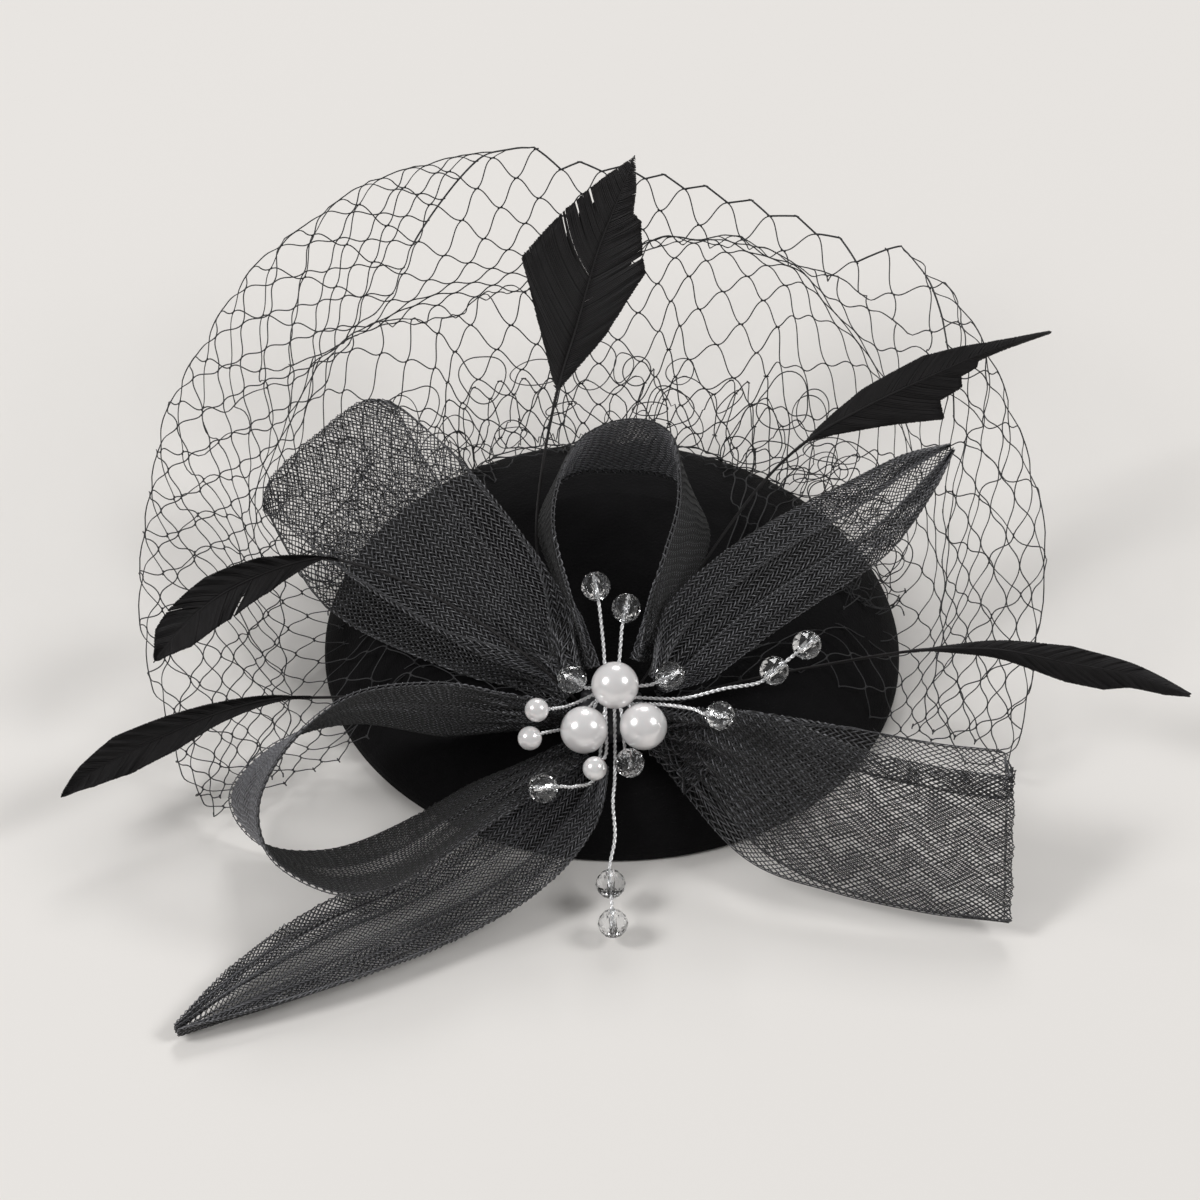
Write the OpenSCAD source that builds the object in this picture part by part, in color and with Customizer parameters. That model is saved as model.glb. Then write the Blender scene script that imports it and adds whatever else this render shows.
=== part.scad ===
// Fascinator headpiece: a felt covered saucer base with a horsehair braid bow, a net veil,
// trimmed feathers, a wired spray of pearls and crystals, and a forked hair clip underneath.
// Millimetres. The rim lies on z = 0, the origin is the middle of the rim and the front is -Y.

/* [Base] */
// Outside diameter of the base at its rim
hat_d = 130; // [100:1:160]
// Height of the base at its shoulder
hat_h = 20.5; // [14:0.5:28]
// Depth of the shallow dent in the middle of the top
dent = 2; // [0:0.5:3]
// Thickness of the felt cover
felt_t = 1.5; // [1:0.1:2.5]
// Thickness of the stiff buckram shell
buckram_t = 1.0; // [0.6:0.1:1.6]
// Thickness of the lining
lining_t = 0.4; // [0.3:0.1:0.8]
// Height that the felt is turned up inside the rim
turn_h = 7.5; // [5:0.5:12]
// Diameter of the wire in the rim
rim_wire_d = 1.6; // [1:0.1:2]

/* [Bow] */
// Width of the horsehair braid
braid_w = 38; // [28:1:46]
// Thickness of the braid
braid_t = 0.6; // [0.4:0.1:0.8]
// Radius of the bound knot
knot_r = 7.5; // [6:0.5:10]
// Height of the bound knot
knot_h = 8; // [6:0.5:10]

/* [Veil] */
// Radius of the veil's outer edge from the middle of the base
veil_r = 104; // [96:1:125]
// Thickness that stands for the net and its knots
veil_t = 0.6; // [0.4:0.1:1]

/* [Feathers] */
// Width of a stripped quill
quill_w = 0.9; // [0.6:0.1:1.4]
// Thickness of a quill and its vane
quill_t = 0.7; // [0.5:0.1:1]

/* [Spray] */
// Diameter of the large pearls
pearl_d = 10.6; // [8:0.2:13]
// Diameter of the small pearls
seed_d = 5.4; // [4:0.2:7]
// Diameter of the crystals
crystal_d = 6.8; // [5:0.2:8.2]
// Diameter of the twisted pair of wires
wire_d = 0.9; // [0.7:0.1:1.2]
// Distance of the large pearls from the middle of their group
pearl_spread = 1.4; // [1:0.1:3]

/* [Clip] */
// Length of the hair clip's plate
clip_l = 46; // [38:1:56]
// Width of the plate
clip_w = 10; // [8:0.5:14]
// Thickness of the clip's sheet metal
clip_t = 0.8; // [0.6:0.1:1]
// Diameter of the hinge pin
clip_pin_d = 1.6; // [1.2:0.1:2]
// Distance from the plate's face to the pin's middle
clip_drop = 3.2; // [2.8:0.1:4]
// Width of each prong
prong_w = 2.6; // [2:0.1:3]
// Thickness of the felt patch that carries the clip
patch_t = 1.2; // [0.8:0.1:2]

/* [Hidden] */

$fn = 64;
gap = 0.2;             // clearance between pieces that lie against each other
drawn_d = 130;         // base diameter that the layout points below were drawn for
drawn_h = 20.5;        // base height that they were drawn for
sx = hat_d / drawn_d;
sz = hat_h / drawn_h;
face = 45;             // slope of the plane on which the trimming is laid out

black = [0.07, 0.07, 0.075];
soft_black = [0.13, 0.13, 0.14];
dark_grey = [0.2, 0.2, 0.2];
silver = [0.8, 0.8, 0.82];
pearl = [0.95, 0.94, 0.95];
clear = [0.9, 0.93, 0.96];

// ---- curves and sheets ----
function catmull(a, b, c, d, t) =
    0.5 * (2 * b + (c - a) * t + (2 * a - 5 * b + 4 * c - d) * t * t + (3 * b - a - 3 * c + d) * t * t * t);
// A smooth curve through the points p, with n steps between each two
function smooth(p, n) = let (m = len(p) - 1) concat(
    [for (i = [0:m - 1], j = [0:n - 1])
        catmull(p[max(i - 1, 0)], p[i], p[i + 1], p[min(i + 2, m)], j / n)],
    [p[m]]);
function unit(v) = v / norm(v);
function first3(s) = [s[0], s[1], s[2]];
function last_of(p) = p[len(p) - 1];

// Layout coordinates: x across, u up the sloping plane and d out of it, as a direction and as a place
function turned(q) = [q[0], q[1] * cos(face) - q[2] * sin(face), q[1] * sin(face) + q[2] * cos(face)];
function placed(q) = let (p = turned(q)) [p[0] * sx, p[1] * sx, p[2] * sz];

// A closed sheet of thickness t whose middle follows a grid of points, from row first to row last
module sheet(grid, t, first = 0, last = -1) {
    total = len(grid) - 1;
    rows = (last < 0 ? total : last) - first + 1;
    cols = len(grid[0]);
    function at(i, j) = grid[min(max(i + first, 0), total)][min(max(j, 0), cols - 1)];
    function normal_at(i, j) = unit(cross(at(i + 1, j) - at(i - 1, j), at(i, j + 1) - at(i, j - 1)));
    top = [for (i = [0:rows - 1], j = [0:cols - 1]) at(i, j) + normal_at(i, j) * t / 2];
    under = [for (i = [0:rows - 1], j = [0:cols - 1]) at(i, j) - normal_at(i, j) * t / 2];
    n = rows * cols;
    function id(i, j) = i * cols + j;
    function quad(a, b, c, d) = [[a, b, c], [a, c, d]];
    cells = [for (i = [0:rows - 2], j = [0:cols - 2])
        [id(i, j), id(i + 1, j), id(i + 1, j + 1), id(i, j + 1)]];
    long_sides = [for (i = [0:rows - 2]) each concat(
        quad(id(i, 0), n + id(i, 0), n + id(i + 1, 0), id(i + 1, 0)),
        quad(id(i, cols - 1), id(i + 1, cols - 1), n + id(i + 1, cols - 1), n + id(i, cols - 1)))];
    ends = [for (j = [0:cols - 2]) each concat(
        quad(id(0, j), id(0, j + 1), n + id(0, j + 1), n + id(0, j)),
        quad(id(rows - 1, j), n + id(rows - 1, j), n + id(rows - 1, j + 1), id(rows - 1, j + 1)))];
    faces = concat(
        [for (c = cells) each quad(c[3], c[2], c[1], c[0])],
        [for (c = cells) each quad(n + c[0], n + c[1], n + c[2], n + c[3])],
        [for (f = long_sides) [f[2], f[1], f[0]]],
        [for (f = ends) [f[2], f[1], f[0]]]);
    polyhedron(concat(top, under), faces, convexity = 8);
}

// A round tube of diameter dia along a route
module tube(route, dia, sides = 8) {
    m = len(route) - 1;
    function along(i) = unit(route[min(i + 1, m)] - route[max(i - 1, 0)]);
    function side(i) = unit(cross(along(i), [0.13, 0.92, -0.36]));
    ring = [for (i = [0:m], k = [0:sides - 1]) let (a = 360 * k / sides, s = side(i))
        route[i] + (s * cos(a) + cross(along(i), s) * sin(a)) * dia / 2];
    walls = [for (i = [0:m - 1], k = [0:sides - 1]) let (n = (k + 1) % sides)
        each [[i * sides + k, (i + 1) * sides + k, (i + 1) * sides + n],
              [i * sides + k, (i + 1) * sides + n, i * sides + n]]];
    caps = [[for (k = [0:sides - 1]) k], [for (k = [sides - 1:-1:0]) m * sides + k]];
    polyhedron(ring, concat(walls, caps), convexity = 8);
}

// ---- base ----
// Outline of the dome from the rim to the middle, as [radius, height]
dome = smooth([for (p = [[65, 0], [64.6, 3], [61, 8], [56, 12.5], [50, 16.2], [42, 19.2], [32, 20.5]])
    [p[0] * sx, p[1] * sz]], 3);
crown = smooth([for (p = [[32, 0], [22, 0.35], [11, 0.85], [0, 1]]) [p[0] * sx, hat_h - p[1] * dent]], 3);
outline = concat(dome, [for (i = [1:len(crown) - 1]) crown[i]]);
// The outline moved inwards by t
function inset(t) = let (m = len(outline) - 1) [for (i = [0:m]) let (
    v = unit(outline[min(i + 1, m)] - outline[max(i - 1, 0)]),
    q = outline[i] + [-v[1], v[0]] * t)
    i == m ? [0, outline[i][1] - t] : [max(q[0], 0.01), q[1]]];
function above(p, h) = [for (q = p) if (q[1] > h) q];
function below(p, h) = [for (q = p) if (q[1] > felt_t && q[1] < h) q];
function back(p) = [for (i = [len(p) - 1:-1:0]) p[i]];
function radius_at(p, h) = lookup(h, [for (i = [0:len(dome) - 1]) [p[i][1], p[i][0]]]);

in_buckram = felt_t + gap;
in_lining = in_buckram + buckram_t + gap;
in_turn = in_buckram + max(buckram_t, rim_wire_d) + gap;

module felt_cover() {
    lip_out = below(inset(in_turn), turn_h);
    lip_in = below(inset(in_turn + felt_t * 0.8), turn_h);
    color(black) rotate_extrude($fn = 96) polygon(concat(
        outline,
        back(above(inset(felt_t), felt_t)),
        [[radius_at(inset(felt_t), felt_t), felt_t], [lip_out[0][0], felt_t]],
        lip_out,
        back(lip_in),
        [[lip_in[0][0], 0]]));
}

module shell_layer(inner, thick, from_h) {
    outer_line = above(inset(inner), from_h);
    inner_line = above(inset(inner + thick), from_h);
    rotate_extrude($fn = 96) polygon(concat(
        outer_line,
        back(inner_line),
        [[inner_line[0][0], from_h], [outer_line[0][0], from_h]]));
}

wire_level = felt_t + gap + rim_wire_d / 2;
module buckram_base()
    color(dark_grey) shell_layer(in_buckram, buckram_t, wire_level + rim_wire_d / 2 + gap);

module rim_wire() {
    middle = (radius_at(inset(felt_t), wire_level) + radius_at(inset(in_turn), wire_level)) / 2;
    color(silver) rotate_extrude($fn = 96) translate([middle, wire_level]) circle(d = rim_wire_d, $fn = 24);
}

module lining() color(soft_black) shell_layer(in_lining, lining_t, turn_h + 0.6);

// ---- hair clip, lying along X under the middle of the base ----
roof = hat_h - dent - in_lining - lining_t - gap;   // height of the lining over the clip
plate_top = roof - patch_t - gap;
pin_z = plate_top - clip_t - clip_drop;
pin_x = -clip_l / 2 + 14;
pin_gap = 0.05;
ear_r = clip_pin_d / 2 + 1.6;
inner_w = clip_w - 2 * clip_t - 2 * gap;
prong_z = plate_top - 2 * clip_t - 1.2;              // top of the closed prongs
tab_drop = 24;                                       // angle of the thumb tab below the plate
tab_l = 14;                                          // length of the tab behind the pin

module across(w, r) rotate([90, 0, 0]) cylinder(h = w, r = r, center = true, $fn = 48);

module clip_patch() color(soft_black)
    translate([-clip_l / 2 - 3, -clip_w / 2 - 3, plate_top + gap]) cube([clip_l + 6, clip_w + 6, patch_t]);

module clip_plate() color(silver) difference() {
    union() {
        translate([-clip_l / 2, -clip_w / 2, plate_top - clip_t]) cube([clip_l, clip_w, clip_t]);
        for (s = [-1, 1]) translate([pin_x, s * (clip_w - clip_t) / 2, 0]) {
            translate([-ear_r, -clip_t / 2, pin_z])
                cube([2 * ear_r, clip_t, plate_top - clip_t / 2 - pin_z]);
            translate([0, 0, pin_z]) across(clip_t, ear_r);
        }
    }
    translate([pin_x, 0, pin_z]) across(clip_w * 2, clip_pin_d / 2 + pin_gap);
}

module clip_prongs() {
    tip_x = clip_l / 2 - 1;
    web_x = pin_x + ear_r + 1;
    color(silver) difference() {
        union() {
            for (s = [-1, 1]) {
                edge_y = s * (inner_w - prong_w) / 2 - prong_w / 2;
                translate([web_x - 0.5, edge_y, prong_z - clip_t])
                    cube([tip_x - web_x + 0.5, prong_w, clip_t]);
                translate([tip_x - clip_t, edge_y, prong_z - clip_t / 2])
                    cube([clip_t, prong_w, clip_t / 2 + plate_top - clip_t - prong_z - gap]);
                translate([pin_x, s * (inner_w - clip_t) / 2, pin_z]) {
                    across(clip_t, ear_r);
                    translate([0, -clip_t / 2, -ear_r * 0.8])
                        cube([web_x - pin_x + 1, clip_t, ear_r * 1.6]);
                }
            }
            translate([web_x, -inner_w / 2, prong_z - clip_t]) cube([4, inner_w, clip_t]);
            translate([pin_x, 0, pin_z]) rotate([0, -tab_drop, 0])
                translate([-tab_l, -inner_w / 2, -ear_r - 0.1]) cube([tab_l, inner_w, clip_t]);
        }
        translate([pin_x, 0, pin_z]) across(clip_w * 2, clip_pin_d / 2 + pin_gap);
    }
}

module clip_pin() color(silver) translate([pin_x, 0, pin_z]) {
    across(clip_w + 2 * gap, clip_pin_d / 2);
    for (s = [-1, 1]) translate([0, s * (clip_w / 2 + gap + 0.3), 0]) across(0.6, clip_pin_d / 2 + 0.4);
}

// Torsion spring: a row of turns round the pin and one leg along the plate
module clip_spring() {
    turn_d = 0.6;
    turns = 5;
    coil_r = clip_pin_d / 2 + 0.15 + turn_d / 2;
    pitch = turn_d * 0.92;
    leg = 9;
    color(silver) translate([pin_x, 0, pin_z]) {
        for (k = [0:turns - 1]) translate([0, (k - (turns - 1) / 2) * pitch, 0])
            rotate([90, 0, 0]) rotate_extrude($fn = 32) translate([coil_r, 0]) circle(d = turn_d, $fn = 16);
        translate([-leg, (turns - 1) / 2 * pitch, coil_r])
            rotate([0, 90, 0]) cylinder(h = leg, d = turn_d, $fn = 16);
    }
}

// ---- veil ----
// Each row: angle round the base, radius and height of the fold, and height of the outer edge
veil_rows = [[-24, 80, 7, 5], [-5, 86, 20, 24], [20, 91, 34, 44], [50, 84, 42, 53], [90, 78, 42, 60],
    [130, 86, 40, 61], [158, 95, 34, 48], [182, 90, 18, 26], [200, 84, 8, 10], [213, 80, 4, 3]];
veil_steps = 5;        // steps between each two rows
veil_cuts = [3, 5];    // rows at which the rear of the net meets its right and left sides
veil_start = 50;       // radius at which the veil leaves the bow
veil_lift = 1.1;       // height at which it lies over the felt

function dome_height(r) = lookup(r, [for (i = [len(outline) - 1:-1:0]) outline[i]]);
function veil_section(fold_r, fold_z, edge_z) = smooth([
    [veil_start * sx, dome_height(veil_start * sx) + veil_lift],
    [57 * sx, dome_height(57 * sx) + veil_lift + 0.3],
    [63 * sx, dome_height(60.5 * sx) + veil_lift],
    [fold_r - 10, max(fold_z * 0.45, 4)],
    [fold_r, max(fold_z, 3)],
    [(fold_r + veil_r * sx) / 2, (fold_z + edge_z) / 2 + 1],
    [veil_r * sx, edge_z]], 2);
veil_grid = [for (q = smooth(veil_rows, veil_steps))
    [for (p = veil_section(q[1] * sx, q[2] * sz, max(q[3] * sz, 2)))
        [p[0] * cos(q[0]), p[0] * sin(q[0]), p[1]]]];
module veil(first, last) color(soft_black) sheet(veil_grid, veil_t, first, last);
module veil_right() veil(0, veil_cuts[0] * veil_steps);
module veil_rear() veil(veil_cuts[0] * veil_steps, veil_cuts[1] * veil_steps);
module veil_left() veil(veil_cuts[1] * veil_steps, len(veil_grid) - 1);

// ---- bow of horsehair braid ----
// The knot sits on the slope in front of the middle
knot_tilt = 18;
knot_y = -40 * sx;
knot_rise = 0.055;     // height of its middle over the curved felt, as a share of its radius
knot_z = dome_height(-knot_y) + gap + knot_r * knot_rise;
module braid_knot() {
    edge = 2.5;
    color(soft_black) translate([0, knot_y, knot_z]) rotate([knot_tilt, 0, 0])
        rotate_extrude($fn = 48) polygon([
        [0, 0], [knot_r - edge, 0], [knot_r - 0.6, edge * 0.4], [knot_r, edge], [knot_r, knot_h - edge],
        [knot_r - 0.7, knot_h - edge * 0.35], [knot_r - edge, knot_h], [0, knot_h]]);
}

// A strip of braid. Each row: place of its middle, direction across it and its share of the width
module braid(rows, bow = 0) {
    run = smooth(rows, 4);
    m = len(run) - 1;
    grid = [for (i = [0:m]) let (
        c = placed(first3(run[i])),
        along = unit(placed(first3(run[min(i + 1, m)])) - placed(first3(run[max(i - 1, 0)]))),
        w = unit(turned([run[i][3], run[i][4], run[i][5]])),
        h = w * braid_w / 2 * run[i][6],
        n = unit(cross(along, w)))
        [for (u = [-1:0.5:1]) c + h * u + n * bow * run[i][6] * (1 - u * u)]];
    color(soft_black) sheet(grid, braid_t);
}

module loop_upper_left() braid([
    [-9, -9, 44, 0.3, 0.3, 1, 0.2], [-26, 3, 37, 0.7, 0.6, 0.1, 0.62], [-50, 21, 17, 0.73, 0.68, 0, 1],
    [-65, 43, -2, 0.74, 0.67, 0, 1], [-68.5, 47, -1, 0.74, 0.67, 0, 1], [-66, 45, 3, 0.74, 0.67, 0, 1],
    [-44, 27, 22, 0.73, 0.68, 0, 1], [-20, 6, 41, 0.7, 0.6, 0.1, 0.62], [-8, -6, 48, 0.3, 0.3, 1, 0.18]]);

module loop_top() braid([
    [-5, -3, 45, 0.2, 0, 1, 0.2], [-10.6, 12.5, 38, 0.08, 0, 1, 0.7], [-15.8, 29.5, 30, 0.08, 0.05, 1, 1],
    [-10.6, 43.4, 26, 0.05, 0.17, 1, 1], [1.6, 47.5, 25, 0, 0.3, 1, 1], [12.7, 45, 26, -0.04, 0.27, 1, 1],
    [17.8, 33, 29, -0.18, 0.18, 1, 1], [15.8, 22, 33, -0.22, 0.08, 1, 1], [12, 12, 38, -0.24, 0, 1, 0.8],
    [6.5, -1, 45, -0.2, -0.05, 1, 0.25]]);

module leaf_upper_right() braid([
    [9.5, -6, 47, -0.3, 0.4, 0.9, 0.25], [17, 3, 42, -0.6, 0.75, 0.1, 0.5],
    [28, 13, 35, -0.62, 0.78, 0, 0.56], [42, 23, 26, -0.62, 0.78, 0, 0.56],
    [56, 32, 15, -0.62, 0.78, 0, 0.5], [68, 42.5, 6, -0.62, 0.78, 0, 0.3],
    [75.5, 48.8, 2, -0.62, 0.78, 0, 0.05]], 3);

module loop_lower_right() braid([
    [9.5, -17, 50.4, 0, 0.5, 0.8, 0.22], [30, -27.5, 55.5, 0, 1, 0, 0.78], [50, -31.5, 58.5, 0, 1, 0, 0.86],
    [72, -35, 60, 0, 1, 0, 0.86], [84.5, -36.5, 60.5, 0, 1, 0, 0.86], [88, -38.6, 62.5, 0, 1, 0, 0.86],
    [85.5, -41, 65, 0, 1, 0, 0.86], [60, -37, 63.5, 0, 1, 0, 0.88], [34, -27.5, 59.5, 0, 1, 0, 0.82],
    [9.5, -13.5, 52, 0, 0.5, 0.8, 0.16]]);

module loop_lower_left() braid([
    [-9, -14, 48, 0, 0.3, 0.9, 0.25], [-22, -14, 54, 0, 0.3, 0.95, 0.6],
    [-38, -13.3, 59, 0, 0.3, 0.95, 1], [-57, -13.5, 62, 0.03, 0.17, 0.98, 1],
    [-72, -21, 64, 0.13, 0.04, 0.98, 1], [-80.6, -33.8, 65, 0.19, -0.03, 0.98, 1],
    [-75.5, -45.2, 66, 0.09, -0.08, 0.98, 1], [-61, -49.3, 67, 0.06, -0.24, 0.96, 1],
    [-46, -45, 66, 0, -0.35, 0.93, 1], [-30, -34.4, 62, 0, -0.35, 0.93, 0.85],
    [-17, -27, 57, 0, -0.35, 0.93, 0.55], [-7.5, -21, 52, 0, -0.35, 0.93, 0.25]]);

module tail_lower_left() braid([
    [-3.5, -23.5, 49, 0.7, -0.4, 0.5, 0.25], [-9, -33, 53.5, 0.6, -0.6, 0.4, 0.5],
    [-21, -45.5, 59.5, 0.55, -0.66, 0.45, 0.6], [-39, -57, 64, 0.5, -0.66, 0.54, 0.62],
    [-59, -66, 72, 0.5, -0.66, 0.56, 0.6], [-78, -76, 80, 0.5, -0.66, 0.6, 0.4],
    [-94.2, -85.5, 88.6, 0.5, -0.66, 0.6, 0.05]]);

// ---- feathers ----
// Each row: place of the shaft and the vane's width on its left and right. A bare quill is quill_w wide
module feather(rows) {
    run = smooth(rows, 3);
    m = len(run) - 1;
    grid = [for (i = [0:m]) let (
        c = placed(first3(run[i])),
        along = unit(placed(first3(run[min(i + 1, m)])) - placed(first3(run[max(i - 1, 0)]))),
        left = unit(cross(turned([0, 0, 1]), along)))
        [c - left * max(run[i][4], quill_w / 2), c, c + left * max(run[i][3], quill_w / 2)]];
    color(black) sheet(grid, quill_t);
}

module feather_top() feather([
    [-7.5, -4, 37, 0, 0], [-13.5, 8, 30, 0, 0], [-17.4, 23.4, 25, 0, 0], [-17, 39, 20, 0, 0],
    [-13.8, 59, 12, 0, 0], [-9.5, 75, 5, 7.5, 5], [-5.5, 91, -4, 14, 11], [-2, 101, -8.5, 11, 6],
    [0.6, 108, -12, 5, 3.5], [2.6, 114, -15, 0, 0]]);

module feather_upper_right() feather([
    [5.5, -7.9, 41.9, 0, 0], [14, 6, 33, 0, 0], [17, 14.8, 31, 0, 0], [20.5, 21.8, 28, 0, 0],
    [32, 38.4, 22, 0, 0], [43, 49.5, 18, 0, 0], [57, 58, 14, 3.5, 4.5], [71, 65, 11, 4.5, 7.5],
    [84, 71, 9, 2, 2.5], [97.6, 75.5, 7, 0, 0]]);

module feather_right() feather([
    [7.6, -11.3, 43.1, 0, 0], [30, -5, 38, 0, 0], [48, -1, 37.5, 0, 0], [66, 2.3, 38, 0, 0],
    [78, 3.2, 39, 0.6, 0.6], [88, 3, 40.5, 1.8, 1.8], [102, 0.5, 43, 3.4, 3.8],
    [116, -1.8, 47, 2, 3.2], [129, -6, 52, 0, 0]]);

module feather_upper_left() feather([
    [-7.9, -10.2, 47.7, 0, 0], [-16, -3, 48.5, 0, 0], [-30.4, 7, 40.5, 0, 0], [-47.4, 15.7, 29, 0, 0],
    [-61.5, 20, 23, 0, 0], [-68.5, 20, 23, 0.5, 0.5], [-79, 16.5, 26, 4, 3.5], [-89, 11, 31, 5.5, 4.5],
    [-97, 3.5, 37, 4.5, 4.5], [-102.5, -4, 42, 0, 0]]);

module feather_lower_left() feather([
    [-8, -12.7, 42.9, 0, 0], [-30, -11, 41, 0, 0], [-50, -10.5, 39, 0, 0], [-63.5, -10.9, 37, 0, 0],
    [-76, -11.6, 38, 0.5, 0.5], [-88, -15, 42, 2.2, 2.2], [-99, -20, 47, 3.5, 4],
    [-109, -25, 51, 4, 4.5], [-117, -30, 54.5, 1.8, 2.5], [-122, -34.5, 57, 0, 0]]);

// ---- spray of pearls and crystals on twisted wire ----
core_r = 1.4;
core_h = 3.6;
knot_axis = [0, -sin(knot_tilt), cos(knot_tilt)];
core_base = [0, knot_y, knot_z] + knot_axis * (knot_h + gap);
levels = [0.8, 2.3];                      // heights on the core at which the wires leave it
pearl_level = 61;                         // how far out the large pearls lie
group = [1, -13.5];                       // middle of their group
group_r = pearl_d / 2 + pearl_spread;
function in_group(a, r = group_r) = [group[0] + r * cos(a), group[1] + r * sin(a), pearl_level];
pearls = [in_group(92), in_group(-20), in_group(206, group_r + 1)];

module spray_core() color(silver) translate(core_base) rotate([knot_tilt, 0, 0])
    cylinder(h = core_h, r = core_r, $fn = 32);

// A bead threaded on the end of its route; the bore is blind when through is false
module bead(route, dia, through = true) {
    p = last_of(route);
    v = unit(p - route[len(route) - 2]);
    hole = wire_d / 2 + 0.15;
    difference() {
        translate(p) sphere(d = dia, $fn = 48);
        translate(p - v * dia) point_along(v)
            cylinder(h = through ? 2 * dia : dia * 1.25, r = hole, $fn = 24);
    }
}
module point_along(v) rotate([0, acos(v[2]), atan2(v[1], v[0])]) children();
// The wire, stopped short of the far side of the bead
module stem(route, dia, share = 0.3) {
    p = last_of(route);
    v = unit(p - route[len(route) - 2]);
    bent = smooth([for (i = [0:len(route) - 2]) route[i]], 3);
    color(silver) tube(concat(bent, [p - v * dia / 2, p, p + v * dia * share]), wire_d);
}

// A route that leaves the side of the core at angle a and height index k, then takes the layout points
function from_core(a, k, rest) = let (
    out = [cos(a), sin(a) * cos(knot_tilt), sin(a) * sin(knot_tilt)],
    foot = core_base + knot_axis * levels[k])
    concat([foot + out * (core_r + wire_d / 2 + gap / 2), foot + out * (core_r + wire_d + 1.2)],
        [for (p = rest) placed(p)]);
// The last leg of a route runs straight into the bead from lead mm away, along the layout direction v
function straight_in(p, dia, v, lead = 1.2) = [p - unit(v) * (dia / 2 + lead), p];
function onto_pearl(p) = [p - [0, 0, pearl_d / 2 + 1.2], p];

route_pearl_top = from_core(95, 0, onto_pearl(pearls[0]));
route_pearl_right = from_core(-20, 1, onto_pearl(pearls[1]));
route_pearl_left = from_core(205, 1, onto_pearl(pearls[2]));
route_seed_upper = from_core(172, 1, concat([[-9, -11.5, 57.5]],
    straight_in([-16.5, -12.7, 64.5], seed_d, [-1, -0.1, 0.4])));
route_seed_lower = from_core(188, 0, concat([[-9, -16, 54.5]],
    straight_in([-17.9, -19, 64], seed_d, [-0.7, -0.3, 0.7])));
route_seed_front = from_core(250, 1, concat([[-0.8, -21.5, 58.5]],
    straight_in([-3.3, -25.4, 65], seed_d, [-0.3, -0.4, 0.8])));
route_top_left = from_core(112, 1, concat([[-2, 2, 51]],
    straight_in([-4, 15.2, 51], crystal_d, [-0.2, 1, 0])));
route_top_right = from_core(70, 1, concat([[1.8, 2, 51]],
    straight_in([2.9, 10.5, 51], crystal_d, [0.2, 1, 0])));
route_left = from_core(140, 1, straight_in([-8.8, -5.6, 57], crystal_d, [-0.8, 0.5, 0.6]));
route_right = from_core(38, 1, straight_in([13, -4.4, 55], crystal_d, [1, 0.5, 0.2]));
far_inner = [36.2, -2.7, 51];
far_outer = [43.4, 3.2, 48];
route_far = from_core(12, 0, concat([[15.3, -9.4, 54], [25, -7, 54]],
    straight_in(far_inner, crystal_d, far_outer - far_inner),
    straight_in(far_outer, crystal_d, far_outer - far_inner, 0.2)));
route_low_right = from_core(-17, 0, concat([[11, -10.8, 57.5], [18, -11.6, 61.5]],
    straight_in([24.2, -13, 67], crystal_d, [1, -0.1, 0.6])));
route_front = from_core(-52, 1, concat([[3.2, -20, 57.5]],
    straight_in([4.4, -24, 68], crystal_d, [0.1, -0.2, 1])));
route_low_left = from_core(246, 0, concat([[-3, -27, 58.5], [-7.5, -29.5, 65]],
    straight_in([-14.7, -30, 71], crystal_d, [-0.9, -0.1, 0.45])));
hanging_bead = [0.8, -51, 61.5];
drop_bead = [1.5, -59.7, 67];
route_hanging = from_core(284, 0, concat([[1.2, -26.5, 58.5], [0.9, -33, 60.5], [1.5, -40.5, 59.5]],
    straight_in(hanging_bead, crystal_d, drop_bead - hanging_bead),
    straight_in(drop_bead, crystal_d, drop_bead - hanging_bead, 0.6)));

// A bead that the wire passes right through on its way to the next one
module threaded(route, back_by, dia) {
    k = len(route) - back_by;
    v = unit(route[k + 1] - route[k]);
    difference() {
        translate(route[k]) sphere(d = dia, $fn = 48);
        translate(route[k] - v * dia) point_along(v) cylinder(h = 2 * dia, r = wire_d / 2 + 0.3, $fn = 24);
    }
}

module pearl_top() color(pearl) bead(route_pearl_top, pearl_d, false);
module pearl_right() color(pearl) bead(route_pearl_right, pearl_d, false);
module pearl_left() color(pearl) bead(route_pearl_left, pearl_d, false);
module seed_upper() color(pearl) bead(route_seed_upper, seed_d);
module seed_lower() color(pearl) bead(route_seed_lower, seed_d);
module seed_front() color(pearl) bead(route_seed_front, seed_d);
module crystal_top_left() color(clear) bead(route_top_left, crystal_d);
module crystal_top_right() color(clear) bead(route_top_right, crystal_d);
module crystal_left() color(clear) bead(route_left, crystal_d);
module crystal_right() color(clear) bead(route_right, crystal_d);
module crystal_far_outer() color(clear) bead(route_far, crystal_d);
module crystal_far_inner() color(clear) threaded(route_far, 3, crystal_d);
module crystal_low_right() color(clear) bead(route_low_right, crystal_d);
module crystal_front() color(clear) bead(route_front, crystal_d);
module crystal_low_left() color(clear) bead(route_low_left, crystal_d);
module crystal_hanging() color(clear) threaded(route_hanging, 3, crystal_d);
module crystal_drop() color(clear) bead(route_hanging, crystal_d);

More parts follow.
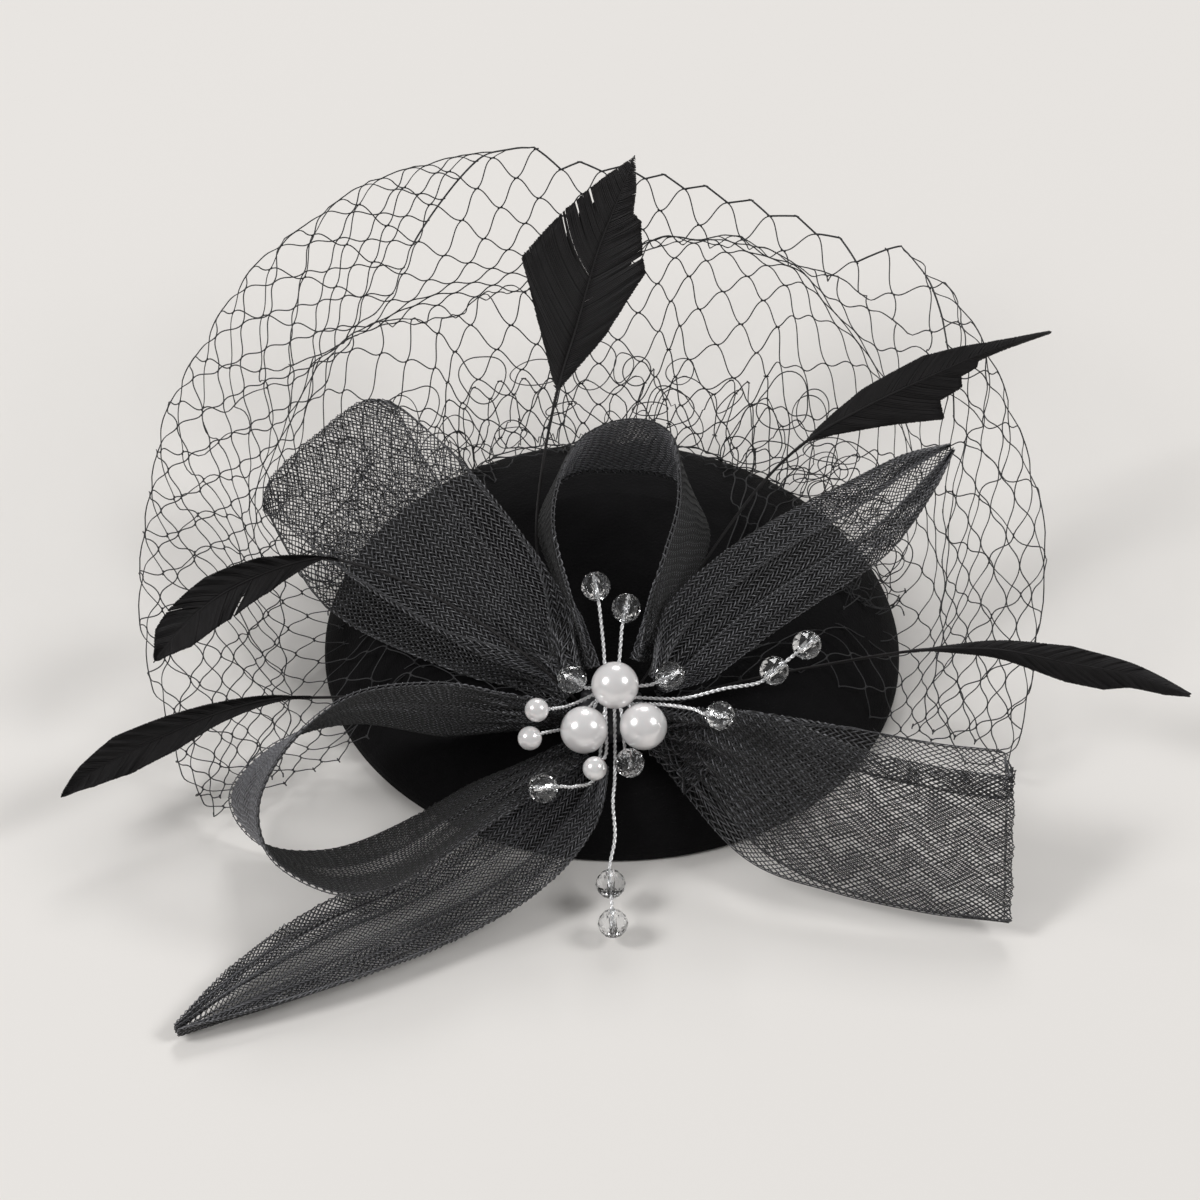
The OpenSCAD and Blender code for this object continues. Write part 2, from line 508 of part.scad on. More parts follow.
module stem_pearl_top() stem(route_pearl_top, pearl_d, 0.1);
module stem_pearl_right() stem(route_pearl_right, pearl_d, 0.1);
module stem_pearl_left() stem(route_pearl_left, pearl_d, 0.1);
module stem_seed_upper() stem(route_seed_upper, seed_d);
module stem_seed_lower() stem(route_seed_lower, seed_d);
module stem_seed_front() stem(route_seed_front, seed_d);
module stem_top_left() stem(route_top_left, crystal_d);
module stem_top_right() stem(route_top_right, crystal_d);
module stem_left() stem(route_left, crystal_d);
module stem_right() stem(route_right, crystal_d);
module stem_far() stem(route_far, crystal_d);
module stem_low_right() stem(route_low_right, crystal_d);
module stem_front() stem(route_front, crystal_d);
module stem_low_left() stem(route_low_left, crystal_d);
module stem_hanging() stem(route_hanging, crystal_d);

felt_cover();
buckram_base();
rim_wire();
lining();
clip_patch();
clip_plate();
clip_prongs();
clip_pin();
clip_spring();
veil_right();
veil_rear();
veil_left();
braid_knot();
loop_upper_left();
loop_top();
leaf_upper_right();
loop_lower_right();
loop_lower_left();
tail_lower_left();
feather_top();
feather_upper_right();
feather_right();
feather_upper_left();
feather_lower_left();
spray_core();
pearl_top();
pearl_right();
pearl_left();
seed_upper();
seed_lower();
seed_front();
crystal_top_left();
crystal_top_right();
crystal_left();
crystal_right();
crystal_far_outer();
crystal_far_inner();
crystal_low_right();
crystal_front();
crystal_low_left();
crystal_hanging();
crystal_drop();
stem_pearl_top();
stem_pearl_right();
stem_pearl_left();
stem_seed_upper();
stem_seed_lower();
stem_seed_front();
stem_top_left();
stem_top_right();
stem_left();
stem_right();
stem_far();
stem_low_right();
stem_front();
stem_low_left();
stem_hanging();
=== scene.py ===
import math

import bmesh
import bpy
from mathutils import Matrix, Vector
import numpy as np


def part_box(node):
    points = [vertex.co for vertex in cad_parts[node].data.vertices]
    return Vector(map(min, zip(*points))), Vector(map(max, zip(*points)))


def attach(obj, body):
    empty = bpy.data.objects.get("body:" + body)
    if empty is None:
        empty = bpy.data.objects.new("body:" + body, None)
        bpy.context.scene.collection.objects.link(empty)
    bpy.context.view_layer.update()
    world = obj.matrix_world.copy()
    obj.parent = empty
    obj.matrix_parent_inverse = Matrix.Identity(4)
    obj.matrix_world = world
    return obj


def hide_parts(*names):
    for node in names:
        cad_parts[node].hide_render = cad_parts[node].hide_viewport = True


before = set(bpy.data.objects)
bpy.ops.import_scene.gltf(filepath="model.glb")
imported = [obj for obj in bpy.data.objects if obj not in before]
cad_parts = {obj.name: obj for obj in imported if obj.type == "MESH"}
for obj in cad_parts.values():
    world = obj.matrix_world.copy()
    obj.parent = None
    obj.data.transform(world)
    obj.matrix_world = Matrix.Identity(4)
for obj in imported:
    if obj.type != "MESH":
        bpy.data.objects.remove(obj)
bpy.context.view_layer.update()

print("frame loaded:", len(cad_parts), "nodes")

# ---- places, shared by every piece ----
mm = 0.001
hatLow, hatHigh = (np.array(corner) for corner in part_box("felt_cover"))
hat = {
    "radius": (hatHigh[0] - hatLow[0]) / 2,   # the rim's
    "height": hatHigh[2],
    "drawnRadius": 0.065,                      # sizes that the layout points below were drawn for
    "drawnHeight": 0.0205,
}
scaleX = hat["radius"] / hat["drawnRadius"]
scaleZ = hat["height"] / hat["drawnHeight"]


# Layout coordinates: x across, u up the 45 degree slope of the trimming, d out of it; turned() is a direction
def turned(q):
    q = np.asarray(q, float)
    k = math.sqrt(0.5)
    return np.stack([q[..., 0], (q[..., 1] - q[..., 2]) * k, (q[..., 1] + q[..., 2]) * k], -1)


def placed(q):
    return turned(q) * mm * np.array([scaleX, scaleX, scaleZ])


def unit(v):
    return v / np.maximum(np.linalg.norm(v, axis=-1, keepdims=True), 1e-12)


# Catmull-Rom through the rows at t = 0..m: half of 2b + (c - a)f + (2a - 5b + 4c - d)f2 + (3b - a - 3c + d)f3
def rowsAt(rows, t):
    rows, t = np.asarray(rows, float), np.asarray(t, float)
    last = len(rows) - 1
    i = np.clip(np.floor(t).astype(int), 0, last - 1)
    f = (t - i)[..., None]
    a, b = rows[np.maximum(i - 1, 0)], rows[i]
    c, d = rows[i + 1], rows[np.minimum(i + 2, last)]
    cubic = 3 * b - a - 3 * c + d
    return 0.5 * (2 * b + (c - a) * f + (2 * a - 5 * b + 4 * c - d) * f ** 2 + cubic * f ** 3)


def smoothStep(x, low, high):
    f = np.clip((x - low) / (high - low), 0, 1)
    return f * f * (3 - 2 * f)


# Slow waves of four sines each, a repeatable stand-in for unevenness; size is the wavelength
def wander(x, y, size, seed):
    rng = np.random.default_rng(seed)
    total = 0
    for _ in range(4):
        angle, phase, stretch = rng.uniform(0, 2 * math.pi, 2).tolist() + [rng.uniform(0.7, 1.6)]
        turns = (x * math.cos(angle) + y * math.sin(angle)) * 2 * math.pi / size
        total = total + np.sin(turns * stretch + phase)
    return total / 4


# ---- meshes ----
def makeMesh(name, points, faces, smooth=True):
    mesh = bpy.data.meshes.new(name)
    faces = np.asarray(faces)
    mesh.vertices.add(len(points))
    mesh.vertices.foreach_set("co", np.asarray(points, np.float32).ravel())
    sides = faces.shape[1]
    mesh.loops.add(faces.size)
    mesh.loops.foreach_set("vertex_index", faces.ravel().astype(np.int32))
    mesh.polygons.add(len(faces))
    mesh.polygons.foreach_set("loop_start", np.arange(0, faces.size, sides, dtype=np.int32))
    mesh.polygons.foreach_set("loop_total", np.full(len(faces), sides, np.int32))
    mesh.update(calc_edges=True)
    mesh.polygons.foreach_set("use_smooth", np.full(len(faces), smooth))
    mesh.validate()
    piece = bpy.data.objects.new(name, mesh)
    bpy.context.scene.collection.objects.link(piece)
    return piece


def joined(parts):
    points, faces, start = [], [], 0
    for p, f in parts:
        points.append(p.reshape(-1, 3))
        faces.append(f + start)
        start += len(points[-1])
    return np.concatenate(points), np.concatenate(faces)


# Tubes along many paths at once: centre + radius x (cos a x side + sin a x cross(along, side)), all triangles
def tubes(paths, side, radius, sides=3, capped=True):
    many, steps = paths.shape[:2]
    along = unit(np.gradient(paths, axis=1))
    side = unit(side - along * np.sum(side * along, -1, keepdims=True))
    over = np.cross(along, side)
    turn = (np.arange(sides) * 2 * math.pi / sides)[None, None, :, None]
    radius = np.broadcast_to(np.asarray(radius, float), (many, steps))[:, :, None, None]
    rings = paths[:, :, None] + radius * (np.cos(turn) * side[:, :, None] + np.sin(turn) * over[:, :, None])
    i, j, k = np.meshgrid(np.arange(many), np.arange(steps - 1), np.arange(sides), indexing="ij")
    n = (k + 1) % sides
    a, b = (i * steps + j) * sides + k, (i * steps + j) * sides + n
    c, d = a + sides, b + sides
    faces = [np.stack([a, b, d], -1).reshape(-1, 3), np.stack([a, d, c], -1).reshape(-1, 3)]
    if capped:
        first = (np.arange(many) * steps * sides)[:, None]
        fan = np.arange(1, sides - 1)[None]
        low = np.stack([first + 0 * fan, first + fan + 1, first + fan], -1).reshape(-1, 3)
        end = first + (steps - 1) * sides
        high = np.stack([end + 0 * fan, end + fan, end + fan + 1], -1).reshape(-1, 3)
        faces += [low, high]
    return rings.reshape(-1, 3), np.concatenate(faces)


# A closed skin over a grid: rows are joined, and the grid closes on itself along either way if asked
def gridFaces(rows, cols, closeRows=False, closeCols=False):
    i, j = np.meshgrid(np.arange(rows - (not closeRows)), np.arange(cols - (not closeCols)), indexing="ij")
    i2, j2 = (i + 1) % rows, (j + 1) % cols
    return np.stack([i * cols + j, i2 * cols + j, i2 * cols + j2, i * cols + j2], -1).reshape(-1, 4)


# Merges doubled points, as at a pole, and turns every face outwards
def tidySkin(piece):
    skin = bmesh.new()
    skin.from_mesh(piece.data)
    bmesh.ops.remove_doubles(skin, verts=skin.verts, dist=1e-6)
    bmesh.ops.recalc_face_normals(skin, faces=skin.faces)
    skin.to_mesh(piece.data)
    skin.free()


def finished(piece, body, material, nodes=()):
    piece.data.materials.append(material)
    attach(piece, body)
    if nodes:
        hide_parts(*nodes)
    return piece


# ---- shader groups ----
def newGroup(name, inputs, outputs):
    group = bpy.data.node_groups.new(name, "ShaderNodeTree")
    for label, kind, value in inputs:
        socket = group.interface.new_socket(name=label, in_out="INPUT", socket_type=kind)
        if value is not None:
            socket.default_value = value
    for label, kind in outputs:
        group.interface.new_socket(name=label, in_out="OUTPUT", socket_type=kind)
    return group, group.nodes.new("NodeGroupInput"), group.nodes.new("NodeGroupOutput")


def setSockets(node, values):
    for label, value in values.items():
        node.inputs[label].default_value = value


def wire(tree, *pairs):
    for start, end in pairs:
        tree.links.new(start, end)


def mathNode(tree, operation, first, second=None, clamp=False):
    node = tree.nodes.new("ShaderNodeMath")
    node.operation, node.use_clamp = operation, clamp
    for socket, value in zip(node.inputs, (first, second)):
        if value is None:
            continue
        if isinstance(value, (int, float)):
            socket.default_value = value
        else:
            tree.links.new(value, socket)
    return node.outputs[0]


# Uneven tone: noise between two colours, for dye and dust, and on the braid for painted glints
def toneGroup():
    group, inside, outside = newGroup("unevenTone", [
        ("Vector", "NodeSocketVector", None), ("Scale", "NodeSocketFloat", 200.0),
        ("Dark", "NodeSocketColor", (0.01, 0.01, 0.01, 1)),
        ("Light", "NodeSocketColor", (0.05, 0.05, 0.05, 1))],
        [("Color", "NodeSocketColor"), ("Value", "NodeSocketFloat")])
    noise = group.nodes.new("ShaderNodeTexNoise")
    noise.inputs["Detail"].default_value = 4
    mix = group.nodes.new("ShaderNodeMix")
    mix.data_type = "RGBA"
    wire(group, (inside.outputs["Vector"], noise.inputs["Vector"]),
         (inside.outputs["Scale"], noise.inputs["Scale"]),
         (noise.outputs["Fac"], mix.inputs["Factor"]), (inside.outputs["Dark"], mix.inputs["A"]),
         (inside.outputs["Light"], mix.inputs["B"]), (mix.outputs["Result"], outside.inputs["Color"]),
         (noise.outputs["Fac"], outside.inputs["Value"]))
    return group


# Fine nap: short streaky fibres as a height
def napGroup():
    group, inside, outside = newGroup("nap", [
        ("Vector", "NodeSocketVector", None), ("Scale", "NodeSocketFloat", 900.0),
        ("Stretch", "NodeSocketVector", (1, 1, 1))], [("Height", "NodeSocketFloat")])
    mapping = group.nodes.new("ShaderNodeMapping")
    fine = group.nodes.new("ShaderNodeTexNoise")
    fine.inputs["Detail"].default_value = 3
    cells = group.nodes.new("ShaderNodeTexVoronoi")
    wire(group, (inside.outputs["Vector"], mapping.inputs["Vector"]),
         (inside.outputs["Stretch"], mapping.inputs["Scale"]),
         (mapping.outputs["Vector"], fine.inputs["Vector"]), (inside.outputs["Scale"], fine.inputs["Scale"]),
         (mapping.outputs["Vector"], cells.inputs["Vector"]),
         (inside.outputs["Scale"], cells.inputs["Scale"]))
    height = mathNode(group, "ADD", fine.outputs["Fac"],
                      mathNode(group, "MULTIPLY", cells.outputs["Distance"], 0.5))
    wire(group, (height, outside.inputs["Height"]))
    return group


toneTree, napTree = toneGroup(), napGroup()


def newMaterial(name):
    material = bpy.data.materials.new(name)
    material.use_nodes = True
    tree = material.node_tree
    return material, tree, tree.nodes["Principled BSDF"]


def placeGroup(tree, group, **values):
    node = tree.nodes.new("ShaderNodeGroup")
    node.node_tree = group
    for key, value in values.items():
        if isinstance(value, bpy.types.NodeSocket):
            tree.links.new(value, node.inputs[key])
        else:
            node.inputs[key].default_value = value
    return node


def bumpInto(tree, shader, height, strength, distance):
    bump = tree.nodes.new("ShaderNodeBump")
    bump.inputs["Strength"].default_value = strength
    bump.inputs["Distance"].default_value = distance
    wire(tree, (height, bump.inputs["Height"]), (bump.outputs["Normal"], shader.inputs["Normal"]))
    return bump


def objectPlace(tree):
    return tree.nodes.new("ShaderNodeTexCoord").outputs["Object"]


# Matt or glossy, but never one flat colour: uneven tone, and a nap that also breaks up the gloss
def clothLike(name, dark, light, rough, sheen, toneScale, napScale, napDepth, stretch=(1, 1, 1),
              sheenTint=0.5):
    material, tree, shader = newMaterial(name)
    place = objectPlace(tree)
    tone = placeGroup(tree, toneTree, Vector=place, Scale=toneScale, Dark=(*dark, 1), Light=(*light, 1))
    nap = placeGroup(tree, napTree, Vector=place, Scale=napScale, Stretch=stretch)
    wire(tree, (tone.outputs["Color"], shader.inputs["Base Color"]))
    setSockets(shader, {"Roughness": rough, "Sheen Weight": sheen, "Specular IOR Level": 0.12,
                        "Sheen Roughness": sheenTint})
    bumpInto(tree, shader, nap.outputs["Height"], 0.6, napDepth)
    return material


def glossyThread(name, dark, light, rough, toneScale, gloss=0.5):
    material, tree, shader = newMaterial(name)
    tone = placeGroup(tree, toneTree, Vector=objectPlace(tree), Scale=toneScale, Dark=(*dark, 1),
                      Light=(*light, 1))
    spread = mathNode(tree, "ADD", mathNode(tree, "MULTIPLY", tone.outputs["Value"], 0.2), rough)
    wire(tree, (tone.outputs["Color"], shader.inputs["Base Color"]), (spread, shader.inputs["Roughness"]))
    shader.inputs["Specular IOR Level"].default_value = gloss
    return material


# Braid thread: painted highlight on top of each float and painted shade where it dips under, colour =
# mix(near-black painted shade, tone, the float's height cubed)
def braidFinish():
    material, tree, shader = newMaterial("horsehairThread")
    # The noise between these two colours paints glints on the floats
    tone = placeGroup(tree, toneTree, Vector=objectPlace(tree), Scale=900.0,
                      Dark=(0.03, 0.03, 0.033, 1), Light=(0.36, 0.36, 0.39, 1))
    paintedFloatLight = tree.nodes.new("ShaderNodeAttribute")
    paintedFloatLight.attribute_name = "paintedFloatLight"
    share = mathNode(tree, "POWER", paintedFloatLight.outputs["Fac"], 3.0)
    mix = tree.nodes.new("ShaderNodeMix")
    mix.data_type = "RGBA"
    # Near-black painted shade where a thread dips under the other family
    mix.inputs["A"].default_value = (0.0015, 0.0015, 0.0017, 1)
    wire(tree, (share, mix.inputs["Factor"]), (tone.outputs["Color"], mix.inputs["B"]))
    spread = mathNode(tree, "SUBTRACT", 0.75, mathNode(tree, "MULTIPLY", share, 0.5))
    wire(tree, (mix.outputs["Result"], shader.inputs["Base Color"]), (spread, shader.inputs["Roughness"]))
    shader.inputs["Specular IOR Level"].default_value = 0.8
    return material


def metalLike(name, colour, rough, scratchScale, stretch, metal=1.0):
    material, tree, shader = newMaterial(name)
    place = objectPlace(tree)
    tone = placeGroup(tree, toneTree, Vector=place, Scale=300.0, Dark=(*[c * 0.8 for c in colour], 1),
                      Light=(*colour, 1))
    nap = placeGroup(tree, napTree, Vector=place, Scale=scratchScale, Stretch=stretch)
    spread = mathNode(tree, "ADD", mathNode(tree, "MULTIPLY", tone.outputs["Value"], 0.25), rough)
    wire(tree, (tone.outputs["Color"], shader.inputs["Base Color"]), (spread, shader.inputs["Roughness"]))
    shader.inputs["Metallic"].default_value = metal
    bumpInto(tree, shader, nap.outputs["Height"], 0.25, 0.00003)
    return material


def pearlFinish():
    material, tree, shader = newMaterial("pearlCoat")
    place = objectPlace(tree)
    tone = placeGroup(tree, toneTree, Vector=place, Scale=120.0, Dark=(0.82, 0.8, 0.8, 1),
                      Light=(0.93, 0.91, 0.91, 1))
    nap = placeGroup(tree, napTree, Vector=place, Scale=500.0)
    wire(tree, (tone.outputs["Color"], shader.inputs["Base Color"]))
    setSockets(shader, {"Roughness": 0.24, "Metallic": 0.3, "Subsurface Weight": 0.15,
                        "Subsurface Radius": (0.002, 0.0015, 0.0015), "Subsurface Scale": 0.5,
                        "Coat Weight": 0.7, "Coat Roughness": 0.12})
    bumpInto(tree, shader, nap.outputs["Height"], 0.08, 0.00002)
    return material


def crystalFinish():
    material, tree, shader = newMaterial("clearCrystal")
    tone = placeGroup(tree, toneTree, Vector=objectPlace(tree), Scale=400.0,
                      Dark=(0.97, 0.98, 0.99, 1), Light=(1.0, 1.0, 1.0, 1))
    wire(tree, (tone.outputs["Color"], shader.inputs["Base Color"]))
    setSockets(shader, {"Roughness": 0.01, "IOR": 1.56, "Transmission Weight": 1.0})
    return material


finishes = {
    "felt": clothLike("woolFelt", (0.0022, 0.0021, 0.0023), (0.006, 0.0056, 0.0063), 0.95, 0.02, 260.0,
                      1500.0, 0.0003, (1, 1, 3)),
    "buckram": clothLike("buckram", (0.012, 0.012, 0.012), (0.03, 0.03, 0.03), 0.9, 0.1, 300.0, 900.0,
                         0.0002),
    "lining": clothLike("liningCloth", (0.012, 0.012, 0.014), (0.024, 0.024, 0.027), 0.55, 0.25, 150.0,
                        1800.0, 0.0001, (6, 1, 1)),
    "braid": braidFinish(),
    "binding": glossyThread("bindingThread", (0.006, 0.006, 0.007), (0.022, 0.022, 0.026), 0.3, 350.0, 0.5),
    "net": glossyThread("netThread", (0.014, 0.014, 0.015), (0.045, 0.045, 0.048), 0.45, 500.0, 0.35),
    "feather": glossyThread("featherBarb", (0.0035, 0.003, 0.0033), (0.012, 0.0105, 0.011), 0.45, 260.0,
                            0.25),
    "quill": glossyThread("featherQuill", (0.02, 0.02, 0.022), (0.06, 0.06, 0.065), 0.3, 200.0, 0.7),
    "wire": metalLike("silverWire", (0.93, 0.93, 0.94), 0.12, 900.0, (1, 1, 1), 0.5),
    "steel": metalLike("nickelSteel", (0.72, 0.73, 0.75), 0.16, 700.0, (1, 12, 12)),
    "rimSteel": metalLike("rimSteel", (0.5, 0.5, 0.5), 0.35, 500.0, (1, 1, 1)),
    "pearl": pearlFinish(),
    "crystal": crystalFinish(),
}

# ---- the base ----
print("base")
for nodeName, key in {"buckram_base": "buckram", "lining": "lining", "rim_wire": "rimSteel",
                      "clip_patch": "felt",
                      "clip_plate": "steel", "clip_prongs": "steel", "clip_pin": "steel",
                      "clip_spring": "steel",
                      "spray_core": "wire", "felt_cover": "felt"}.items():
    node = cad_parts[nodeName]
    node.data.materials.clear()
    node.data.materials.append(finishes[key])

# ---- horsehair braid ----
braid = {
    "width": 0.038,
    "thread": 0.00029,      # across one nylon thread
    "along": 0.00175,       # one mesh of the braid, along the strip
    "across": 0.0010,       # and across it
    "lift": 0.00022,        # each thread rides this far over and under the others
    "layer": 0.0006,        # a folded layer lies this far over the one before
    "sample": 0.0005,       # step across the strip between points on a thread
    "skew": 0.13,           # one family of threads leans a little more than the other
    "selvage": 2,           # straight threads bound along each edge
    "loose": 0.0009,        # how far the weave wanders, over patches of this size
    "looseSize": 0.016,
}


# A strip of braid: its middle, its direction across and its share of the width, by length along the middle
def stripAlong(rows):
    t = np.linspace(0, len(rows) - 1, 60 * (len(rows) - 1) + 1)
    run = rowsAt(rows, t)
    middle = placed(run[:, :3])
    length = np.concatenate([[0], np.cumsum(np.linalg.norm(np.diff(middle, axis=0), axis=1))])
    return {"length": length, "middle": middle, "across": unit(turned(run[:, 3:6])), "share": run[:, 6]}


def alongStrip(strip, key, x):
    values = strip[key]
    if values.ndim == 1:
        return np.interp(x, strip["length"], values)
    return np.stack([np.interp(x, strip["length"], values[:, k]) for k in range(values.shape[1])], -1)


# Where the strip is drawn in it is first squeezed, less so in the open streak |y - c| < w, then folds back
# on itself:
# across = s tri((y + side) / s), a wave of slope 1 that starts at one selvage (side 1 or -1) or in the
# middle (0).
# A flat tail keeps an open middle |y| < open s and folds the rest over and over between there and its edge
def foldedAcross(y, share, bow):
    if "open" in bow:
        clear = bow["open"] * share
        lap = bow["laps"] * np.clip((np.abs(y) - clear) / (1 - clear), 0, 1)
        turns = np.where(lap > 0, np.minimum(np.floor(lap), bow["laps"] - 1), 0)
        flat = np.where(np.abs(y) < clear, np.abs(y),
                        clear + (share - clear) * (1 - np.abs(np.mod(lap, 2) - 1)))
        return np.sign(y) * flat, turns
    side, squeeze = bow.get("side", 0), bow.get("squeeze", 0.8)
    middle, wide, rest = bow.get("streak", (0, 0.1, 1))

    def pulled(v):
        away = np.abs(v - middle)
        return np.sign(v - middle) * (np.minimum(away, wide) + rest * np.maximum(away - wide, 0))

    low, high = pulled(-1), pulled(1)
    y = 2 * (pulled(y) - low) / (high - low) - 1
    factor = 1 - (1 - squeeze) * smoothStep(1 - share, 0.02, 0.3)
    fold = np.maximum(share / factor, 0.45)
    reach = (y + side) / fold + (0 if side == 0 else -side)
    turns = np.floor((np.abs(reach) + 1) / 2)
    return share * (1 - np.abs(np.mod(reach + 1, 4) - 2)), turns


# Place on the strip at length x and y = -1..1 across: middle + across x half width x folded y + normal x
# height
def onStrip(strip, x, y, bow, shift=0):
    step = 0.0004
    middle = alongStrip(strip, "middle", x)
    along = unit(alongStrip(strip, "middle", x + step) - alongStrip(strip, "middle", x - step))
    across = unit(alongStrip(strip, "across", x))
    normal = unit(np.cross(along, across))
    share = np.clip(alongStrip(strip, "share", x), 0.05, 1)
    flat, turns = foldedAcross(y, share, bow)
    drawn = 1 - share
    pleats = bow.get("depth", 0) * drawn * np.cos(bow.get("pleats", 4) * math.pi * flat / share + x * 40)
    offMiddle = flat / share
    crown = bow.get("crown", 0) * share * (1 - offMiddle ** 2) + bow.get("curl", 0) * np.abs(offMiddle) ** 6
    height = turns * braid["layer"] + pleats + crown + shift
    place = middle + across * (braid["width"] / 2 * flat)[..., None] + normal * height[..., None]
    if "corner" in bow:
        end = strip["length"][np.argmax(strip["middle"] @ bow["outward"])]
        pull = bow["corner"] * np.abs(flat) ** 6 * np.exp(-((x - end) / 0.008) ** 2)
        place = place - bow["outward"] * pull[..., None]
    return place, normal


# Threads of one strip: two families slant across it, y = -half..half, x = start + y x slope, and each rides
# lift x cos(pi x y / across) over and under, so that two columns of short floats make a chevron
def weaveStrip(name, bow, seed):
    strip = stripAlong(bow["rows"])
    total = strip["length"][-1]
    slope = braid["along"] / braid["across"]
    pitch = braid["along"] * bow.get("pitch", 1)
    half = braid["width"] / 2
    rise = half * slope
    parts, paintedFloatLight = [], []
    for sign in (1, -1):
        first, last = -math.ceil(rise * 1.1 / pitch), math.ceil((total + rise * 1.1) / pitch)
        start = (np.arange(first, last) + (0 if sign > 0 else 0.5)) * pitch
        lean = sign * slope + braid["skew"]
        edge = np.sort(np.stack([-start / lean, (total - start) / lean], -1), -1)
        low, high = np.maximum(edge[:, 0], -half), np.minimum(edge[:, 1], half)
        keep = high - low > braid["sample"] * 2
        start, low, high = start[keep], low[keep], high[keep]
        steps = int(2 * half / braid["sample"]) + 1
        y = low[:, None] + (high - low)[:, None] * np.linspace(0, 1, steps)[None]
        x = start[:, None] + y * lean
        shift = sign * braid["lift"] * np.cos(math.pi * y / braid["across"])
        loose = wander(x, y, braid["looseSize"], seed) * braid["loose"]
        y = np.clip(y + 0.5 * loose * (1 - (y / half) ** 2), -half, half)
        place, normal = onStrip(strip, np.clip(x + loose, 0, total), y / half, bow, shift)
        parts.append(tubes(place, normal, braid["thread"] / 2))
        # Each point's float height is kept as the mask that paints the highlight on a float's top and the
        # shade where it dips under
        paintedFloatLight.append(np.repeat((0.5 + 0.5 * shift / braid["lift"]).ravel(), 3))
    steps = int(total / 0.0012)
    x = np.tile(np.linspace(0, total, steps), (2 * braid["selvage"], 1))
    edges = np.array([1 - k * 0.018 for k in range(braid["selvage"])])
    y = np.concatenate([edges, -edges])[:, None] * np.ones_like(x)
    place, normal = onStrip(strip, x, y, bow)
    parts.append(tubes(place, normal, braid["thread"] * 0.5))
    # Selvage threads take a fixed share of that painted highlight
    paintedFloatLight.append(np.full(3 * x.size, 0.6))
    piece = makeMesh(name + "_weave", *joined(parts))
    piece.data.attributes.new("paintedFloatLight", "FLOAT", "POINT").data.foreach_set("value", np.concatenate(paintedFloatLight))
    finished(piece, "headpiece", finishes["braid"], [name])
    print(name, "length", round(total, 4), "faces", len(piece.data.polygons))
    return piece


